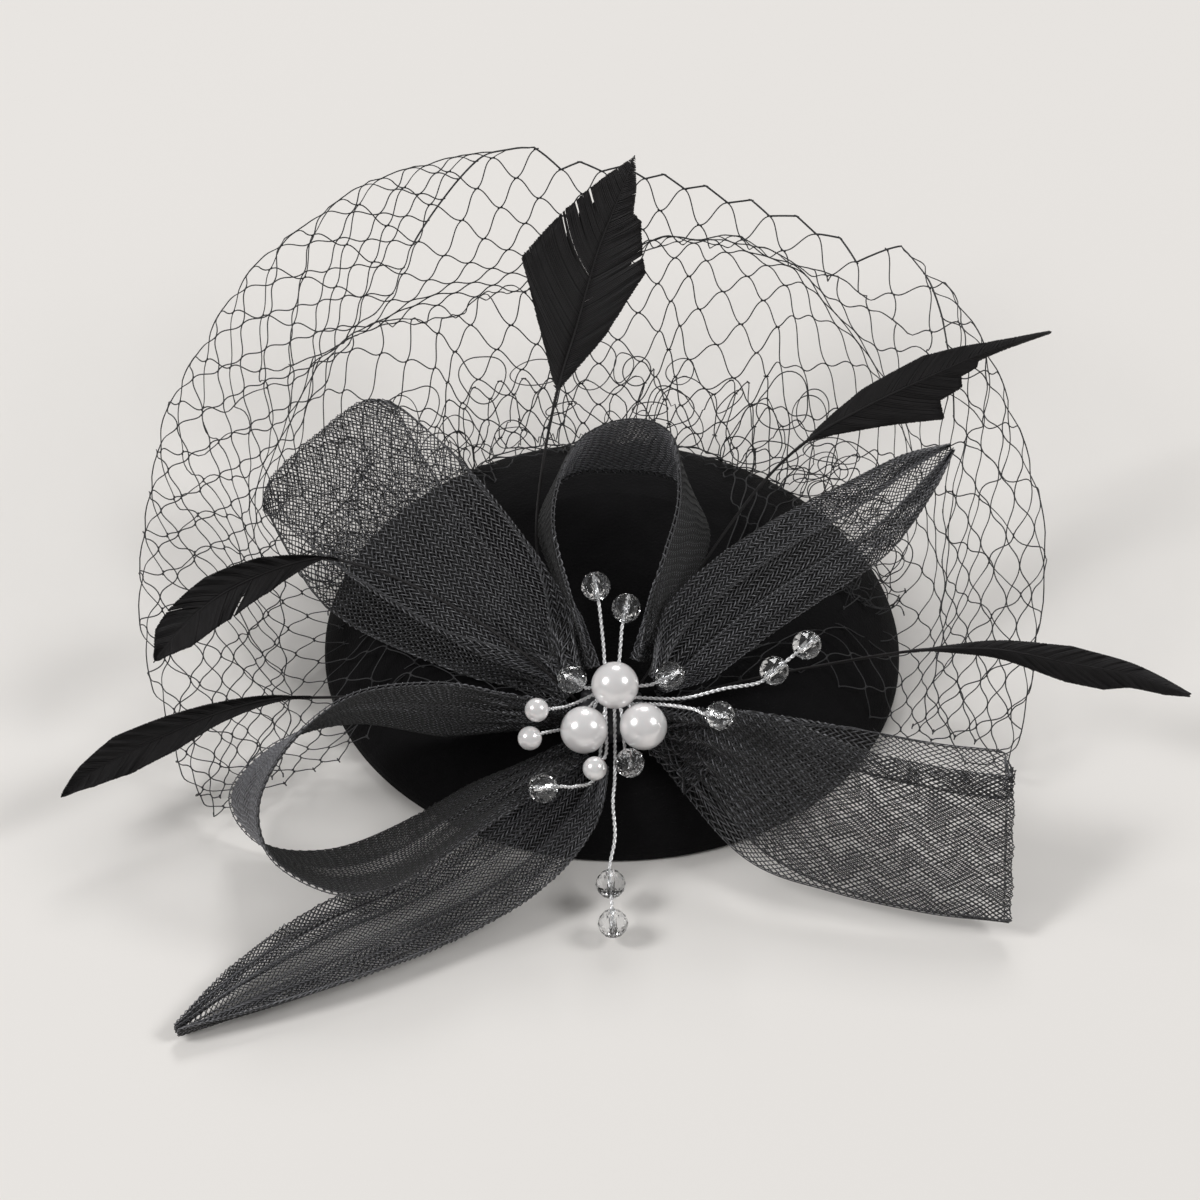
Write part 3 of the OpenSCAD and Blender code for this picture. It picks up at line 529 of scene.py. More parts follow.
# Each row: place of the middle (x, up the slope, out of it, in mm), direction across and share of the width
bows = {
    "loop_upper_left": dict(depth=0.002, pleats=3, crown=0.0006, corner=0.005,
                            outward=turned([-.68, .73, 0]), rows=[
        [-9, -9, 44, .3, .3, 1, .2], [-26, 3, 37, .7, .6, .1, .62], [-50, 21, 17, .73, .68, 0, .97],
        [-65, 43, -2, .74, .67, 0, 1], [-68.5, 47, -1, .74, .67, 0, 1], [-66, 45, 3, .74, .67, 0, 1],
        [-44, 27, 22, .73, .68, 0, .94], [-20, 6, 41, .7, .6, .1, .6], [-8, -6, 48, .3, .3, 1, .18]]),
    "loop_top": dict(depth=0.0015, pleats=3, rows=[
        [-5, -3, 45, .2, 0, 1, .2], [-10.6, 12.5, 38, .08, 0, 1, .7], [-15.8, 29.5, 30, .08, .05, 1, 1],
        [-10.6, 43.4, 26, .05, .17, 1, 1], [1.6, 47.5, 25, 0, .3, 1, 1], [12.7, 45, 26, -.04, .27, 1, 1],
        [17.8, 33, 29, -.18, .18, 1, 1], [15.8, 22, 33, -.22, .08, 1, 1], [12, 12, 38, -.24, 0, 1, .8],
        [6.5, -1, 45, -.2, -.05, 1, .25]]),
    "leaf_upper_right": dict(depth=0.0008, pleats=4, crown=0.003, open=0.3, laps=2, pitch=0.82, rows=[
        [9.5, -6, 47, -.3, .4, .9, .25], [17, 3, 42, -.6, .75, .1, .5], [28, 13, 35, -.62, .78, 0, .56],
        [42, 23, 26, -.62, .78, 0, .56], [56, 32, 15, -.62, .78, 0, .5], [68, 42.5, 6, -.62, .78, 0, .3],
        [75.5, 48.8, 2, -.62, .78, 0, .06]]),
    "loop_lower_right": dict(depth=0.002, pleats=4, side=1, squeeze=1.0, rows=[
        [9.5, -17, 50.4, 0, .5, .8, .22], [30, -28, 55.5, 0, 1, 0, .85], [50, -33, 58.5, 0, 1, 0, .98],
        [72, -37, 60, 0, 1, 0, 1], [86.5, -38.3, 60.6, 0, 1, 0, 1], [88.4, -39.2, 62.3, 0, 1, 0, .95],
        [87.6, -41, 64.6, 0, 1, 0, .86], [60, -37, 63.5, 0, 1, 0, .86], [34, -27.5, 59.5, 0, 1, 0, .8],
        [9.5, -13.5, 52, 0, .5, .8, .16]]),
    "loop_lower_left": dict(depth=0.0018, pleats=4, streak=(.1, .15, .7), rows=[
        [-9, -14, 48, 0, .3, .9, .25], [-22, -14, 54, 0, .3, .95, .6], [-38, -13.3, 59, 0, .3, .95, 1],
        [-57, -13.5, 62, .03, .17, .98, 1], [-72, -21, 64, .13, .04, .98, 1],
        [-80.6, -33.8, 65, .19, -.03, .98, 1],
        [-75.5, -45.2, 66, .09, -.08, .98, 1], [-61, -49.3, 67, .06, -.24, .96, 1],
        [-46, -45, 66, 0, -.35, .93, 1], [-30, -34.4, 62, 0, -.35, .93, .85],
        [-17, -27, 57, 0, -.35, .93, .55],
        [-7.5, -21, 52, 0, -.35, .93, .25]]),
    "tail_lower_left": dict(depth=0.0008, pleats=5, curl=0.0012, open=0.28, laps=2, pitch=0.78, rows=[
        [-3.5, -23.5, 49, .7, -.4, .5, .25], [-9, -33, 53.5, .6, -.6, .4, .5],
        [-21, -45.5, 59.5, .55, -.66, .45, .6],
        [-39, -57, 64, .5, -.66, .54, .62], [-59, -66, 72, .5, -.66, .56, .6],
        [-78, -76, 80, .5, -.66, .6, .4],
        [-94.2, -85.5, 88.6, .5, -.66, .6, .06]]),
}
for seed, (name, bow) in enumerate(bows.items()):
    weaveStrip(name, bow, seed)

# ---- the bound knot ----
knot = {"wraps": 22, "roundness": 0.45, "folds": 0.0005, "rings": 40, "around": 160}
knotLow, knotHigh = (np.array(corner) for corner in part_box("braid_knot"))


# A soft barrel: radius and height follow a superellipse, r = R |cos a|^0.45, h = H |sin a|^0.45, with folds
# cut by cos(wraps x turn)
def makeKnot():
    middle = (knotLow + knotHigh) / 2
    tilt = math.radians(18)
    radius, tall = 0.0075, 0.0038
    a = np.linspace(-math.pi / 2, math.pi / 2, knot["rings"])[:, None]
    turn = np.linspace(0, 2 * math.pi, knot["around"], endpoint=False)[None]
    groove = knot["folds"] * (0.5 + 0.5 * np.cos(knot["wraps"] * turn)) * np.cos(a)
    r = radius * np.abs(np.cos(a)) ** knot["roundness"] - groove
    h = tall * np.sign(np.sin(a)) * np.abs(np.sin(a)) ** knot["roundness"] + 0 * turn
    x, y, z = r * np.cos(turn), r * np.sin(turn), h
    points = np.stack([x, y * math.cos(tilt) - z * math.sin(tilt), y * math.sin(tilt) + z * math.cos(tilt)],
                      -1) + middle
    piece = makeMesh("braid_knot_wrap", points.reshape(-1, 3),
                     gridFaces(knot["rings"], knot["around"], closeCols=True)[:, ::-1])
    tidySkin(piece)
    return finished(piece, "headpiece", finishes["binding"], ["braid_knot"])


makeKnot()
print("knot")

# ---- feathers ----
feather = {
    "quill": 0.00065,       # width of the bare shaft
    "barbs": 230,           # on each side of the vane
    "barbWidth": 0.00042,
    "barbThick": 0.00012,
    "steps": 9,
}


# Barbs leave the shaft at s, slant forwards and end where they meet the outline: lateral = side(s tip), s
# tip = s + side / tan(slant).
# A small curl lifts their tips, and each clump of barbs parts from the next along the notches
def makeFeather(name, rows, left, right, curl=0.0, cup=0.0, seed=1, slant=26, splits=()):
    rows = np.asarray(rows, float)
    count = len(rows) - 1
    t = np.linspace(0, count, 60 * count + 1)
    middle = placed(rowsAt(rows, t)[:, :3])
    length = np.concatenate([[0], np.cumsum(np.linalg.norm(np.diff(middle, axis=0), axis=1))])
    total = length[-1]
    atRow = np.interp(np.arange(count + 1), t, length)

    def place(s):
        return np.stack([np.interp(s, length, middle[:, k]) for k in range(3)], -1)

    def frameAt(s):
        along = unit(place(np.minimum(s + 0.001, total)) - place(np.maximum(s - 0.001, 0)))
        out = turned([0, 0, 1])
        leftWay = unit(np.cross(np.broadcast_to(out, along.shape), along))
        return along, leftWay, unit(np.cross(along, leftWay))

    rng = np.random.default_rng(seed)
    slant = math.radians(slant)
    parts = []
    for side, outline in ((1, left), (-1, right)):
        outline = np.asarray(outline, float)
        spots = np.interp(outline[:, 0], np.arange(count + 1), atRow)
        widths = outline[:, 1] * mm
        first, last = spots[0], min(spots[-1], total)
        s = np.linspace(first - 0.004, last - 0.0005, feather["barbs"])
        s = s + rng.normal(0, 0.00008, s.shape)
        tries = np.linspace(0, widths.max() + 0.001, 400)
        inside = tries[None] <= np.interp(s[:, None] + tries[None] / math.tan(slant), spots, widths, left=0,
                                          right=0) + 0.0003
        reach = tries[np.argmin(inside, 1)] * (1 - 0.012 * rng.random(s.shape))
        for split in splits:
            if split[0] == side:
                root = np.interp(split[1], np.arange(count + 1), atRow)
                reach = np.where(np.abs(s - root) < 0.0004, reach * split[2], reach)
        f = np.linspace(0, 1, feather["steps"])[None]
        lean = 1 + 0.25 * (f - 1)
        forward = reach[:, None] / math.tan(slant) * f * lean
        sideways = reach[:, None] * f
        spot = np.minimum(s[:, None] + forward, total - 0.0002)
        along, leftWay, normal = frameAt(spot)
        wave = wander(s[:, None] * 1.0, sideways * 0.2, 0.004, seed + 7) * 0.0005
        height = curl * f ** 2 * side + cup * f ** 2 + wave * f + 0.00008 * np.where(np.arange(len(s)) % 2,
            1, -1)[:, None]
        points = place(spot) + leftWay * (side * sideways)[..., None] + normal * height[..., None]
        parts.append(flatBarbs(points, normal,
                               np.interp(f, [0, 0.8, 1], [1, 0.95, 0.7]) * feather["barbWidth"]))
    steps = int(total / 0.0012)
    s = np.linspace(0, total, steps)[None]
    along, leftWay, normal = frameAt(s)
    vane = np.asarray(left, float)
    start = np.interp(vane[0, 0], np.arange(count + 1), atRow)
    thick = feather["quill"] / 2 * (1 - 0.55 * smoothStep(s, start, total))
    parts.append(tubes(place(s), normal, thick, 8))
    piece = makeMesh(name + "_plume", *joined(parts))
    finished(piece, "headpiece", finishes["feather"], [name])
    print(name, "faces", len(piece.data.polygons))
    return piece


# Flat barbs: four-sided bars, wide along the vane and thin through it
def flatBarbs(points, normal, width):
    many, steps = points.shape[:2]
    along = unit(np.gradient(points, axis=1))
    wide = unit(np.cross(along, normal))
    up = np.cross(wide, along)
    w = np.broadcast_to(width, (many, steps))[..., None] / 2
    h = feather["barbThick"] / 2
    ring = np.stack([points + wide * w, points + up * h, points - wide * w, points - up * h], 2)
    i, j, k = np.meshgrid(np.arange(many), np.arange(steps - 1), np.arange(4), indexing="ij")
    n = (k + 1) % 4
    a, b = (i * steps + j) * 4 + k, (i * steps + j) * 4 + n
    faces = [np.stack([a, b, b + 4], -1).reshape(-1, 3), np.stack([a, b + 4, a + 4], -1).reshape(-1, 3)]
    first = (np.arange(many) * steps * 4)[:, None]
    end = first + (steps - 1) * 4
    fan = np.array([[1, 2]])
    faces += [np.stack([first + 0 * fan, first + fan + 1, first + fan], -1).reshape(-1, 3),
              np.stack([end + 0 * fan, end + fan, end + fan + 1], -1).reshape(-1, 3)]
    return ring.reshape(-1, 3), np.concatenate(faces)


# Rows are places of the shaft; left and right give the vane's width, in millimetres, by row number
plumes = {
    "feather_top": dict(rows=[
        [-7.5, -4, 37], [-13.5, 8, 30], [-17.4, 23.4, 25], [-17, 39, 20], [-13.8, 59, 12],
        [-9.5, 75, 5], [-5.5, 91, -4], [-2, 101, -8.5], [.6, 108, -12], [2.6, 114, -15]],
        left=[[4.05, 0], [5, 9.2], [5.75, 16], [6.5, 11], [7.4, 7], [8, 4.5], [8.5, 2.4], [9, 0]],
        right=[[4.05, 0], [5, 6.6], [6, 11.6], [7.1, 6.5], [7.25, 4.2], [8, 2.6], [9, 0]],
        cup=-0.0015, seed=3, slant=36, splits=[(1, 5.6, .75), (1, 5.95, .8), (1, 6.5, .7), (-1, 5.5, .8)]),
    "feather_upper_right": dict(rows=[
        [5.5, -7.9, 41.9], [14, 6, 33], [17, 14.8, 31], [20.5, 21.8, 28], [32, 38.4, 22], [43, 49.5, 18],
        [57, 58, 14], [71, 65, 11], [84, 71, 9], [97.6, 75.5, 7]],
        left=[[5, 0], [6, 3.6], [7, 4.6], [7.6, 3], [8, 1.6], [8.4, 0.8], [9, 0]],
        right=[[5, 0], [6, 5.2], [6.9, 9.8], [6.96, 5.6], [7.35, 5], [7.42, 2.6], [7.7, 2.2], [7.76, 1],
               [9, 0]],
        cup=-0.001, seed=5, slant=30),
    "feather_right": dict(rows=[
        [7.6, -11.3, 43.1], [30, -5, 38], [48, -1, 37.5], [66, 2.3, 38], [78, 3.2, 39],
        [88, 3, 40.5], [102, .5, 43], [116, -1.8, 47], [129, -6, 52]],
        left=[[3.4, 0], [5, 2], [6, 3.6], [7, 2.2], [7.6, 1], [8, 0]],
        right=[[3.4, 0], [5, 1.8], [6, 3.9], [6.6, 4.2], [7, 2.6], [7.6, 1.6], [8, 0]],
        cup=-0.001, seed=8),
    "feather_upper_left": dict(rows=[
        [-7.9, -10.2, 47.7], [-16, -3, 48.5], [-30.4, 7, 40.5], [-47.4, 15.7, 29], [-61.5, 20, 23],
        [-68.5, 20, 23],
        [-79, 16.5, 26], [-89, 11, 31], [-97, 3.5, 37], [-102.5, -4, 42]],
        left=[[4.6, 0], [6, 4], [7, 5.6], [7.8, 4.8], [8.2, 4.2], [9, 0]],
        right=[[4.6, 0], [6, 3.4], [7, 4.8], [7.9, 4.6], [8.4, 3.8], [9, 0]],
        cup=0.001, seed=11, slant=30, splits=[(1, 6.2, .4), (-1, 7.3, .6)]),
    "feather_lower_left": dict(rows=[
        [-8, -12.7, 42.9], [-30, -11, 41], [-50, -10.5, 39], [-63.5, -10.9, 37], [-76, -11.6, 38],
        [-88, -15, 42], [-99, -20, 47], [-109, -25, 51], [-117, -30, 54.5], [-122, -34.5, 57]],
        left=[[3.6, 0], [5, 2], [6, 3.8], [7, 4.3], [8, 2.6], [9, 0]],
        right=[[3.6, 0], [5, 2], [6, 3.6], [7, 4.2], [8, 2.2], [9, 0]],
        cup=0.001, seed=13),
}
for name, plume in plumes.items():
    makeFeather(name, **plume)

# ---- beads ----
bead = {"pearlSegments": 48, "facets": 10, "bore": 0.0006}


def centreOf(node):
    low, high = (np.array(corner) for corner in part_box(node))
    return (low + high) / 2, float(np.max(high - low)) / 2


# Two axes square to v
def squareTo(v):
    side = unit(np.cross(v, [0.13, 0.92, -0.36]))
    return side, np.cross(v, side)


# A pearl turned about its bore: outside r sin a, r cos a, and the bore joins the two ends
def makePearl(node, way):
    centre, radius = centreOf(node)
    way = unit(np.asarray(way, float))
    side, over = squareTo(way)
    lip = math.asin(bead["bore"] / radius)
    a = np.linspace(0, math.pi - lip, 31)
    r = np.concatenate([radius * np.sin(a), [bead["bore"]] * 4, [0]])
    h = np.concatenate([radius * np.cos(a), np.linspace(-radius * math.cos(lip), 0, 6)[1:-1], [0]])
    turn = np.linspace(0, 2 * math.pi, bead["pearlSegments"], endpoint=False)[None]
    points = centre + (r[:, None] * np.cos(turn))[..., None] * side + (r[:, None] * np.sin(turn))[...,
        None] * over + (h[:, None] + 0 * turn)[..., None] * way
    piece = makeMesh(node + "_bead", points.reshape(-1, 3),
                     gridFaces(len(r), bead["pearlSegments"], closeCols=True)[:, ::-1])
    tidySkin(piece)
    return finished(piece, "headpiece", finishes["pearl"], [node])


# A cut bead: rings of points at set polar angles, each turned half a facet from the last, joined by flat
# triangles, with a bore
def makeCrystal(node, way):
    centre, radius = centreOf(node)
    way = unit(np.asarray(way, float))
    side, over = squareTo(way)
    n = bead["facets"]
    polar = np.radians([16, 38, 64, 90, 116, 142, 164])
    rings = [(radius * 0.985 * math.sin(p), radius * 0.985 * math.cos(p)) for p in polar]
    rings[3] = (radius, 0)
    rings += [(bead["bore"], -radius * 0.9), (bead["bore"], radius * 0.9)]
    turnOf = [k % 2 for k in range(7)] + [0, 0]
    points = np.concatenate([
        centre + np.stack([r * math.cos(a) * side + r * math.sin(a) * over + h * way
                           for a in (np.arange(n) + shift / 2) * 2 * math.pi / n])
        for (r, h), shift in zip(rings, turnOf)])
    faces = []
    for k in range(6):
        even = turnOf[k] == 0
        for j in range(n):
            a, b = k * n + j, k * n + (j + 1) % n
            c, d = (k + 1) * n + j, (k + 1) * n + (j + 1) % n
            faces += [[a, c, b], [b, c, d]] if even else [[a, c, d], [a, d, b]]
    for low, high in ((6, 7), (7, 8), (8, 0)):
        for j in range(n):
            a, b = low * n + j, low * n + (j + 1) % n
            c, d = high * n + j, high * n + (j + 1) % n
            faces += [[a, c, b], [b, c, d]]
    piece = makeMesh(node + "_bead", points, faces, smooth=False)
    return finished(piece, "headpiece", finishes["crystal"], [node])


# ---- twisted wire ----
wireSet = {"strand": 0.00046, "gap": 0.00022, "turn": 0.0026, "step": 0.00035}
knotTilt = math.radians(18)
knotAxis = np.array([0, -math.sin(knotTilt), math.cos(knotTilt)])
coreLow, coreHigh = (np.array(corner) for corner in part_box("spray_core"))
coreMiddle = (coreLow + coreHigh) / 2
core = {"radius": 0.0014, "height": 0.0036, "levels": (0.0008, 0.0023), "wire": 0.0009, "clearance": 0.0002}
coreBase = coreMiddle - knotAxis * core["height"] / 2
pearlWide, seedWide, crystalWide = 10.6, 5.4, 6.8


# A route leaves the side of the core at an angle and a level, then takes the layout points
def fromCore(angle, level, rest):
    a = math.radians(angle)
    out = np.array([math.cos(a), math.sin(a) * math.cos(knotTilt), math.sin(a) * math.sin(knotTilt)])
    foot = coreBase + knotAxis * core["levels"][level]
    near = core["radius"] + core["wire"] / 2 + core["clearance"] / 2
    return np.array([foot + out * near, foot + out * (core["radius"] + core["wire"] + 1.2 * mm),
                     *placed(np.array(rest, float))])


# The last leg runs straight into the bead along v
def straightIn(p, wide, v, lead=1.2):
    p, v = np.array(p, float), unit(np.array(v, float))
    return [p - v * (wide / 2 + lead), p]


def ontoPearl(p):
    p = np.array(p, float)
    return [p - [0, 0, pearlWide / 2 + 1.2], p]


def inGroup(angle, r=pearlWide / 2 + 1.4):
    return [1 + r * math.cos(math.radians(angle)), -13.5 + r * math.sin(math.radians(angle)), 61]


farInner, farOuter = np.array([36.2, -2.7, 51]), np.array([43.4, 3.2, 48])
hangingBead, dropBead = np.array([.8, -51, 61.5]), np.array([1.5, -59.7, 67])
routes = {
    "pearl_top": (pearlWide, 0.1, fromCore(95, 0, ontoPearl(inGroup(92)))),
    "pearl_right": (pearlWide, 0.1, fromCore(-20, 1, ontoPearl(inGroup(-20)))),
    "pearl_left": (pearlWide, 0.1, fromCore(205, 1, ontoPearl(inGroup(206, pearlWide / 2 + 2.4)))),
    "seed_upper": (seedWide, 0.3, fromCore(172, 1, [[-9, -11.5, 57.5],
                                                    *straightIn([-16.5, -12.7, 64.5], seedWide,
                                                                [-1, -.1, .4])])),
    "seed_lower": (seedWide, 0.3, fromCore(188, 0, [[-9, -16, 54.5],
                                                    *straightIn([-17.9, -19, 64], seedWide,
                                                                [-.7, -.3, .7])])),
    "seed_front": (seedWide, 0.3, fromCore(250, 1, [[-.8, -21.5, 58.5],
                                                    *straightIn([-3.3, -25.4, 65], seedWide,
                                                                [-.3, -.4, .8])])),
    "top_left": (crystalWide, 0.3, fromCore(112, 1, [[-2, 2, 51],
                                                     *straightIn([-4, 15.2, 51], crystalWide, [-.2, 1, 0])])),
    "top_right": (crystalWide, 0.3, fromCore(70, 1, [[1.8, 2, 51],
                                                     *straightIn([2.9, 10.5, 51], crystalWide, [.2, 1, 0])])),
    "left": (crystalWide, 0.3, fromCore(140, 1, straightIn([-8.8, -5.6, 57], crystalWide, [-.8, .5, .6]))),
    "right": (crystalWide, 0.3, fromCore(38, 1, straightIn([13, -4.4, 55], crystalWide, [1, .5, .2]))),
    "far": (crystalWide, 0.3, fromCore(12, 0, [[15.3, -9.4, 54], [25, -7, 54],
                                               *straightIn(farInner, crystalWide, farOuter - farInner),
                                            *straightIn(farOuter, crystalWide, farOuter - farInner, .2)])),
    "low_right": (crystalWide, 0.3, fromCore(-17, 0, [[11, -10.8, 57.5], [18, -11.6, 61.5],
                                                      *straightIn([24.2, -13, 67], crystalWide,
                                                                  [1, -.1, .6])])),
    "front": (crystalWide, 0.3, fromCore(-52, 1, [[3.2, -20, 57.5],
                                                  *straightIn([4.4, -24, 68], crystalWide, [.1, -.2, 1])])),
    "low_left": (crystalWide, 0.3, fromCore(246, 0, [[-3, -27, 58.5], [-7.5, -29.5, 65],
                                                     *straightIn([-14.7, -30, 71], crystalWide,
                                                                 [-.9, -.1, .45])])),
    "hanging": (crystalWide, 0.3, fromCore(284, 0, [[1.2, -26.5, 58.5], [.9, -33, 60.5], [1.5, -40.5, 59.5],
                                                 *straightIn(hangingBead, crystalWide,
                                                             dropBead - hangingBead),
                                                 *straightIn(dropBead, crystalWide, dropBead - hangingBead,
                                                             .6)])),
}


# Two strands wound round the route: route + gap x (cos a x side + sin a x over), a = length / turn
def makeStem(name, wide, share, route):
    end = route[-1]
    way = unit(end - route[-2])
    bent = rowsAt(route[:-1], np.linspace(0, len(route) - 2, 40 * (len(route) - 2) + 1))
    path = np.concatenate([bent, [end - way * wide * mm / 2, end, end + way * wide * mm * share]])
    length = np.concatenate([[0], np.cumsum(np.linalg.norm(np.diff(path, axis=0), axis=1))])
    steps = int(length[-1] / wireSet["step"])
    s = np.linspace(0, length[-1], steps)
    centre = np.stack([np.interp(s, length, path[:, k]) for k in range(3)], -1)
    along = unit(np.gradient(centre, axis=0))
    side = unit(np.cross(along, [0.13, 0.92, -0.36]))
    over = np.cross(along, side)
    strands = []
    for start in (0, math.pi):
        a = (s / wireSet["turn"] * 2 * math.pi + start)[:, None]
        strands.append(centre + wireSet["gap"] * (np.cos(a) * side + np.sin(a) * over))
    piece = makeMesh("stem_" + name + "_twist", *tubes(np.stack(strands), np.stack([side, side]),
                                                       wireSet["strand"] / 2, 7))
    return finished(piece, "headpiece", finishes["wire"], ["stem_" + name])


for name, (wide, share, route) in routes.items():
    makeStem(name, wide, share, route)
for name in ("pearl_top", "pearl_right", "pearl_left", "seed_upper", "seed_lower", "seed_front"):
    route = routes[name][2]
    makePearl(name, route[-1] - route[-2])
threaded = {"far_outer": ("far", -1), "far_inner": ("far", -3), "hanging": ("hanging", -3),
            "drop": ("hanging", -1)}
for name in ("top_left", "top_right", "left", "right", "far_outer", "far_inner", "low_right", "front",
             "low_left", "hanging", "drop"):
    routeName, spot = threaded.get(name, (name, -1))
    route = routes[routeName][2]
    makeCrystal("crystal_" + name, route[-1] - route[-2])
print("beads and wire")

# ---- net veil ----
veil = {
    "thread": 0.00029,      # across the thread
    "knotRadius": 0.0002,
    "knotLength": 0.0013,
    "points": 12,           # steps on each side of a mesh
    "columns": 37,
    "rows": 30,             # of meshes across the net
    "foldRow": 20,          # the row at which it is folded back
    "openEdge": (42, 99),   # degrees between which the net ends at that row
    "endSpan": 24,          # and over which it then grows to its full width
    "sway": 0.1,            # how much each side bends as it leaves a knot
    "crest": 0.68,          # how far each crest of the edge is pulled in, of one row
    "clear": 0.0011,        # height over the felt
    "rings": 84,            # closed curls at the back, and their least and greatest radius
    "ringRadius": (0.003, 0.0068),
    # how closely the net is drawn in along its ridge, by angle
    "pinched": ((-10, 20, 45, 75, 100, 120, 150, 175, 200), (0.5, 0.8, 0.92, 0.92, 0.4, 0.9, 0.92, 0.6, 0.3)),
    "ridge": (0.46, 0.14),  # and where, from the felt to the end of the net
    # how far out the net reaches, in mm, by angle
    "reach": ((-24, 22, 42, 62, 115, 130, 182, 213), (97, 97, 100, 104, 104, 106, 107, 105)),
}
domeOutline = np.array([[65, 0], [64.6, 3], [61, 8], [56, 12.5], [50, 16.2], [42, 19.2], [32, 20.5],
                        [22, 19.8], [11, 18.8], [0, 18.5]])
knotSpot = (knotLow + knotHigh)[:2] / 2


def domeHeight(r):
    line = rowsAt(domeOutline, np.linspace(0, len(domeOutline) - 1, 200))[::-1] * mm
    return np.interp(r / scaleX, line[:, 0], line[:, 1]) * scaleZ


# One section of the veil at an angle: over the felt, out past the rim, up to a ridge, down its far side and
# out to the edge,
# then folded back over itself. Each row: angle, ridge radius, ridge height, dip behind the ridge, edge
# height,
# 1 where it starts under the knot, and radius and height where the fold back ends
veilRows = [
    [-24, 77, 7, 1, 5, 1, 74, 10], [-5, 82, 20, 2, 21, 1, 72, 20], [20, 86, 36, 4, 40, 0.9, 76, 32],
    [42, 86, 47, 5, 52, 0.4, 86, 46],
    [62, 84, 53, 7, 57, 0, 96, 52], [80, 82, 54, 7, 60, 0, 97, 54], [96, 76, 44, 3, 62, 0, 96, 56],
    [112, 78, 40, 5, 60, 0, 86, 50],
    [130, 84, 38, 5, 57, 0.1, 82, 45], [150, 92, 36, 4, 48, 0.5, 78, 36], [168, 94, 28, 3, 35, 0.9, 74, 26],
    [182, 90, 18, 2, 23, 1, 72, 18], [200, 84, 8, 1, 8, 1, 74, 10], [213, 80, 4, 0.5, 3, 1, 86, 6]]


def mixPoints(a, b, share):
    return a + (b - a) * share


def evenly(points, count):
    line = rowsAt(points, np.linspace(0, len(points) - 1, 200))
    length = np.concatenate([[0], np.cumsum(np.linalg.norm(np.diff(line, axis=0), axis=1))])
    even = np.linspace(0, length[-1], count)
    return np.stack([np.interp(even, length, line[:, k]) for k in range(3)], -1)


def veilSection(row):
    angle, ridgeR, ridgeZ, dip, edgeZ, inner, backR, backZ = row
    reach = np.interp(angle, *veil["reach"])
    roll = 1 - 0.8 * smoothStep(angle, 30, 50) * (1 - smoothStep(angle, 95, 115))
    way = np.array([math.cos(math.radians(angle)), math.sin(math.radians(angle))])

    def at(r, z):
        return np.array([*(way * r * mm * scaleX), max(z, 2) * mm * scaleZ])

    def onFelt(spot, lift=1.0):
        return np.array([*spot, domeHeight(np.linalg.norm(spot)) + veil["clear"] * lift])

    hem = way * 50 * mm * scaleX
    start = mixPoints(hem, knotSpot + unit(hem - knotSpot) * 0.013, inner)
    points = [onFelt(mixPoints(start, hem, f)) for f in (0, 0.33, 0.67, 1)]
    points += [onFelt(way * 57 * mm * scaleX, 1.3), onFelt(way * 61 * mm * scaleX, 1.8)]
    points += [at(ridgeR - 12, max(ridgeZ * 0.42, 5)), at(ridgeR - 5, ridgeZ * 0.8), at(ridgeR, ridgeZ),
               at(ridgeR + 4, ridgeZ - dip * 0.4), at(ridgeR + 6.5, ridgeZ - dip),
               at(mixPoints(ridgeR + 8, reach - 1, 0.5),
                  mixPoints(ridgeZ - dip * 0.7, edgeZ - 5 * roll, 0.55)),
               at(reach - 0.7, edgeZ - 2 * roll), at(reach, edgeZ + 1.5 * roll)]
    fold = [at(reach, edgeZ + 1.5 * roll), at(reach - 0.8, edgeZ + 4.5 * roll),
            at(reach - 4.5, edgeZ + 6.5 * roll),
            at(mixPoints(reach - 5, backR, 0.5), mixPoints(edgeZ + 6, backZ, 0.45)), at(backR, backZ)]
    edge = int(veil["foldRow"] / veil["rows"] * 200)
    return np.concatenate([evenly(points, edge + 1), evenly(fold, 201 - edge)[1:]])


# The veil as a surface of u = 0..1 round the base and t = 0..1 from the felt to the edge, read from a grid
# of sections
veilGrid = np.stack([veilSection(row) for row in rowsAt(veilRows, np.linspace(0, len(veilRows) - 1, 241))])


def onGrid(grid, u, t):
    rows, cols = grid.shape[:2]
    i, j = np.clip(u, 0, 1) * (rows - 1), np.clip(t, 0, 1) * (cols - 1)
    i0, j0 = np.minimum(i.astype(int), rows - 2), np.minimum(j.astype(int), cols - 2)
    f, g = (i - i0)[..., None], (j - j0)[..., None]
    return (grid[i0, j0] * (1 - f) * (1 - g) + grid[i0 + 1, j0] * f * (1 - g)
            + grid[i0, j0 + 1] * (1 - f) * g + grid[i0 + 1, j0 + 1] * f * g)


# The knots that the selvage runs through: one row up or down at each half column, as near the wanted row as
# it can
def selvagePath(wanted):
    path = [int(wanted[0]) // 2 * 2]
    for row in wanted[1:]:
        path.append(path[-1] + (1 if path[-1] < row - 0.5 else -1))
    return np.array(path)


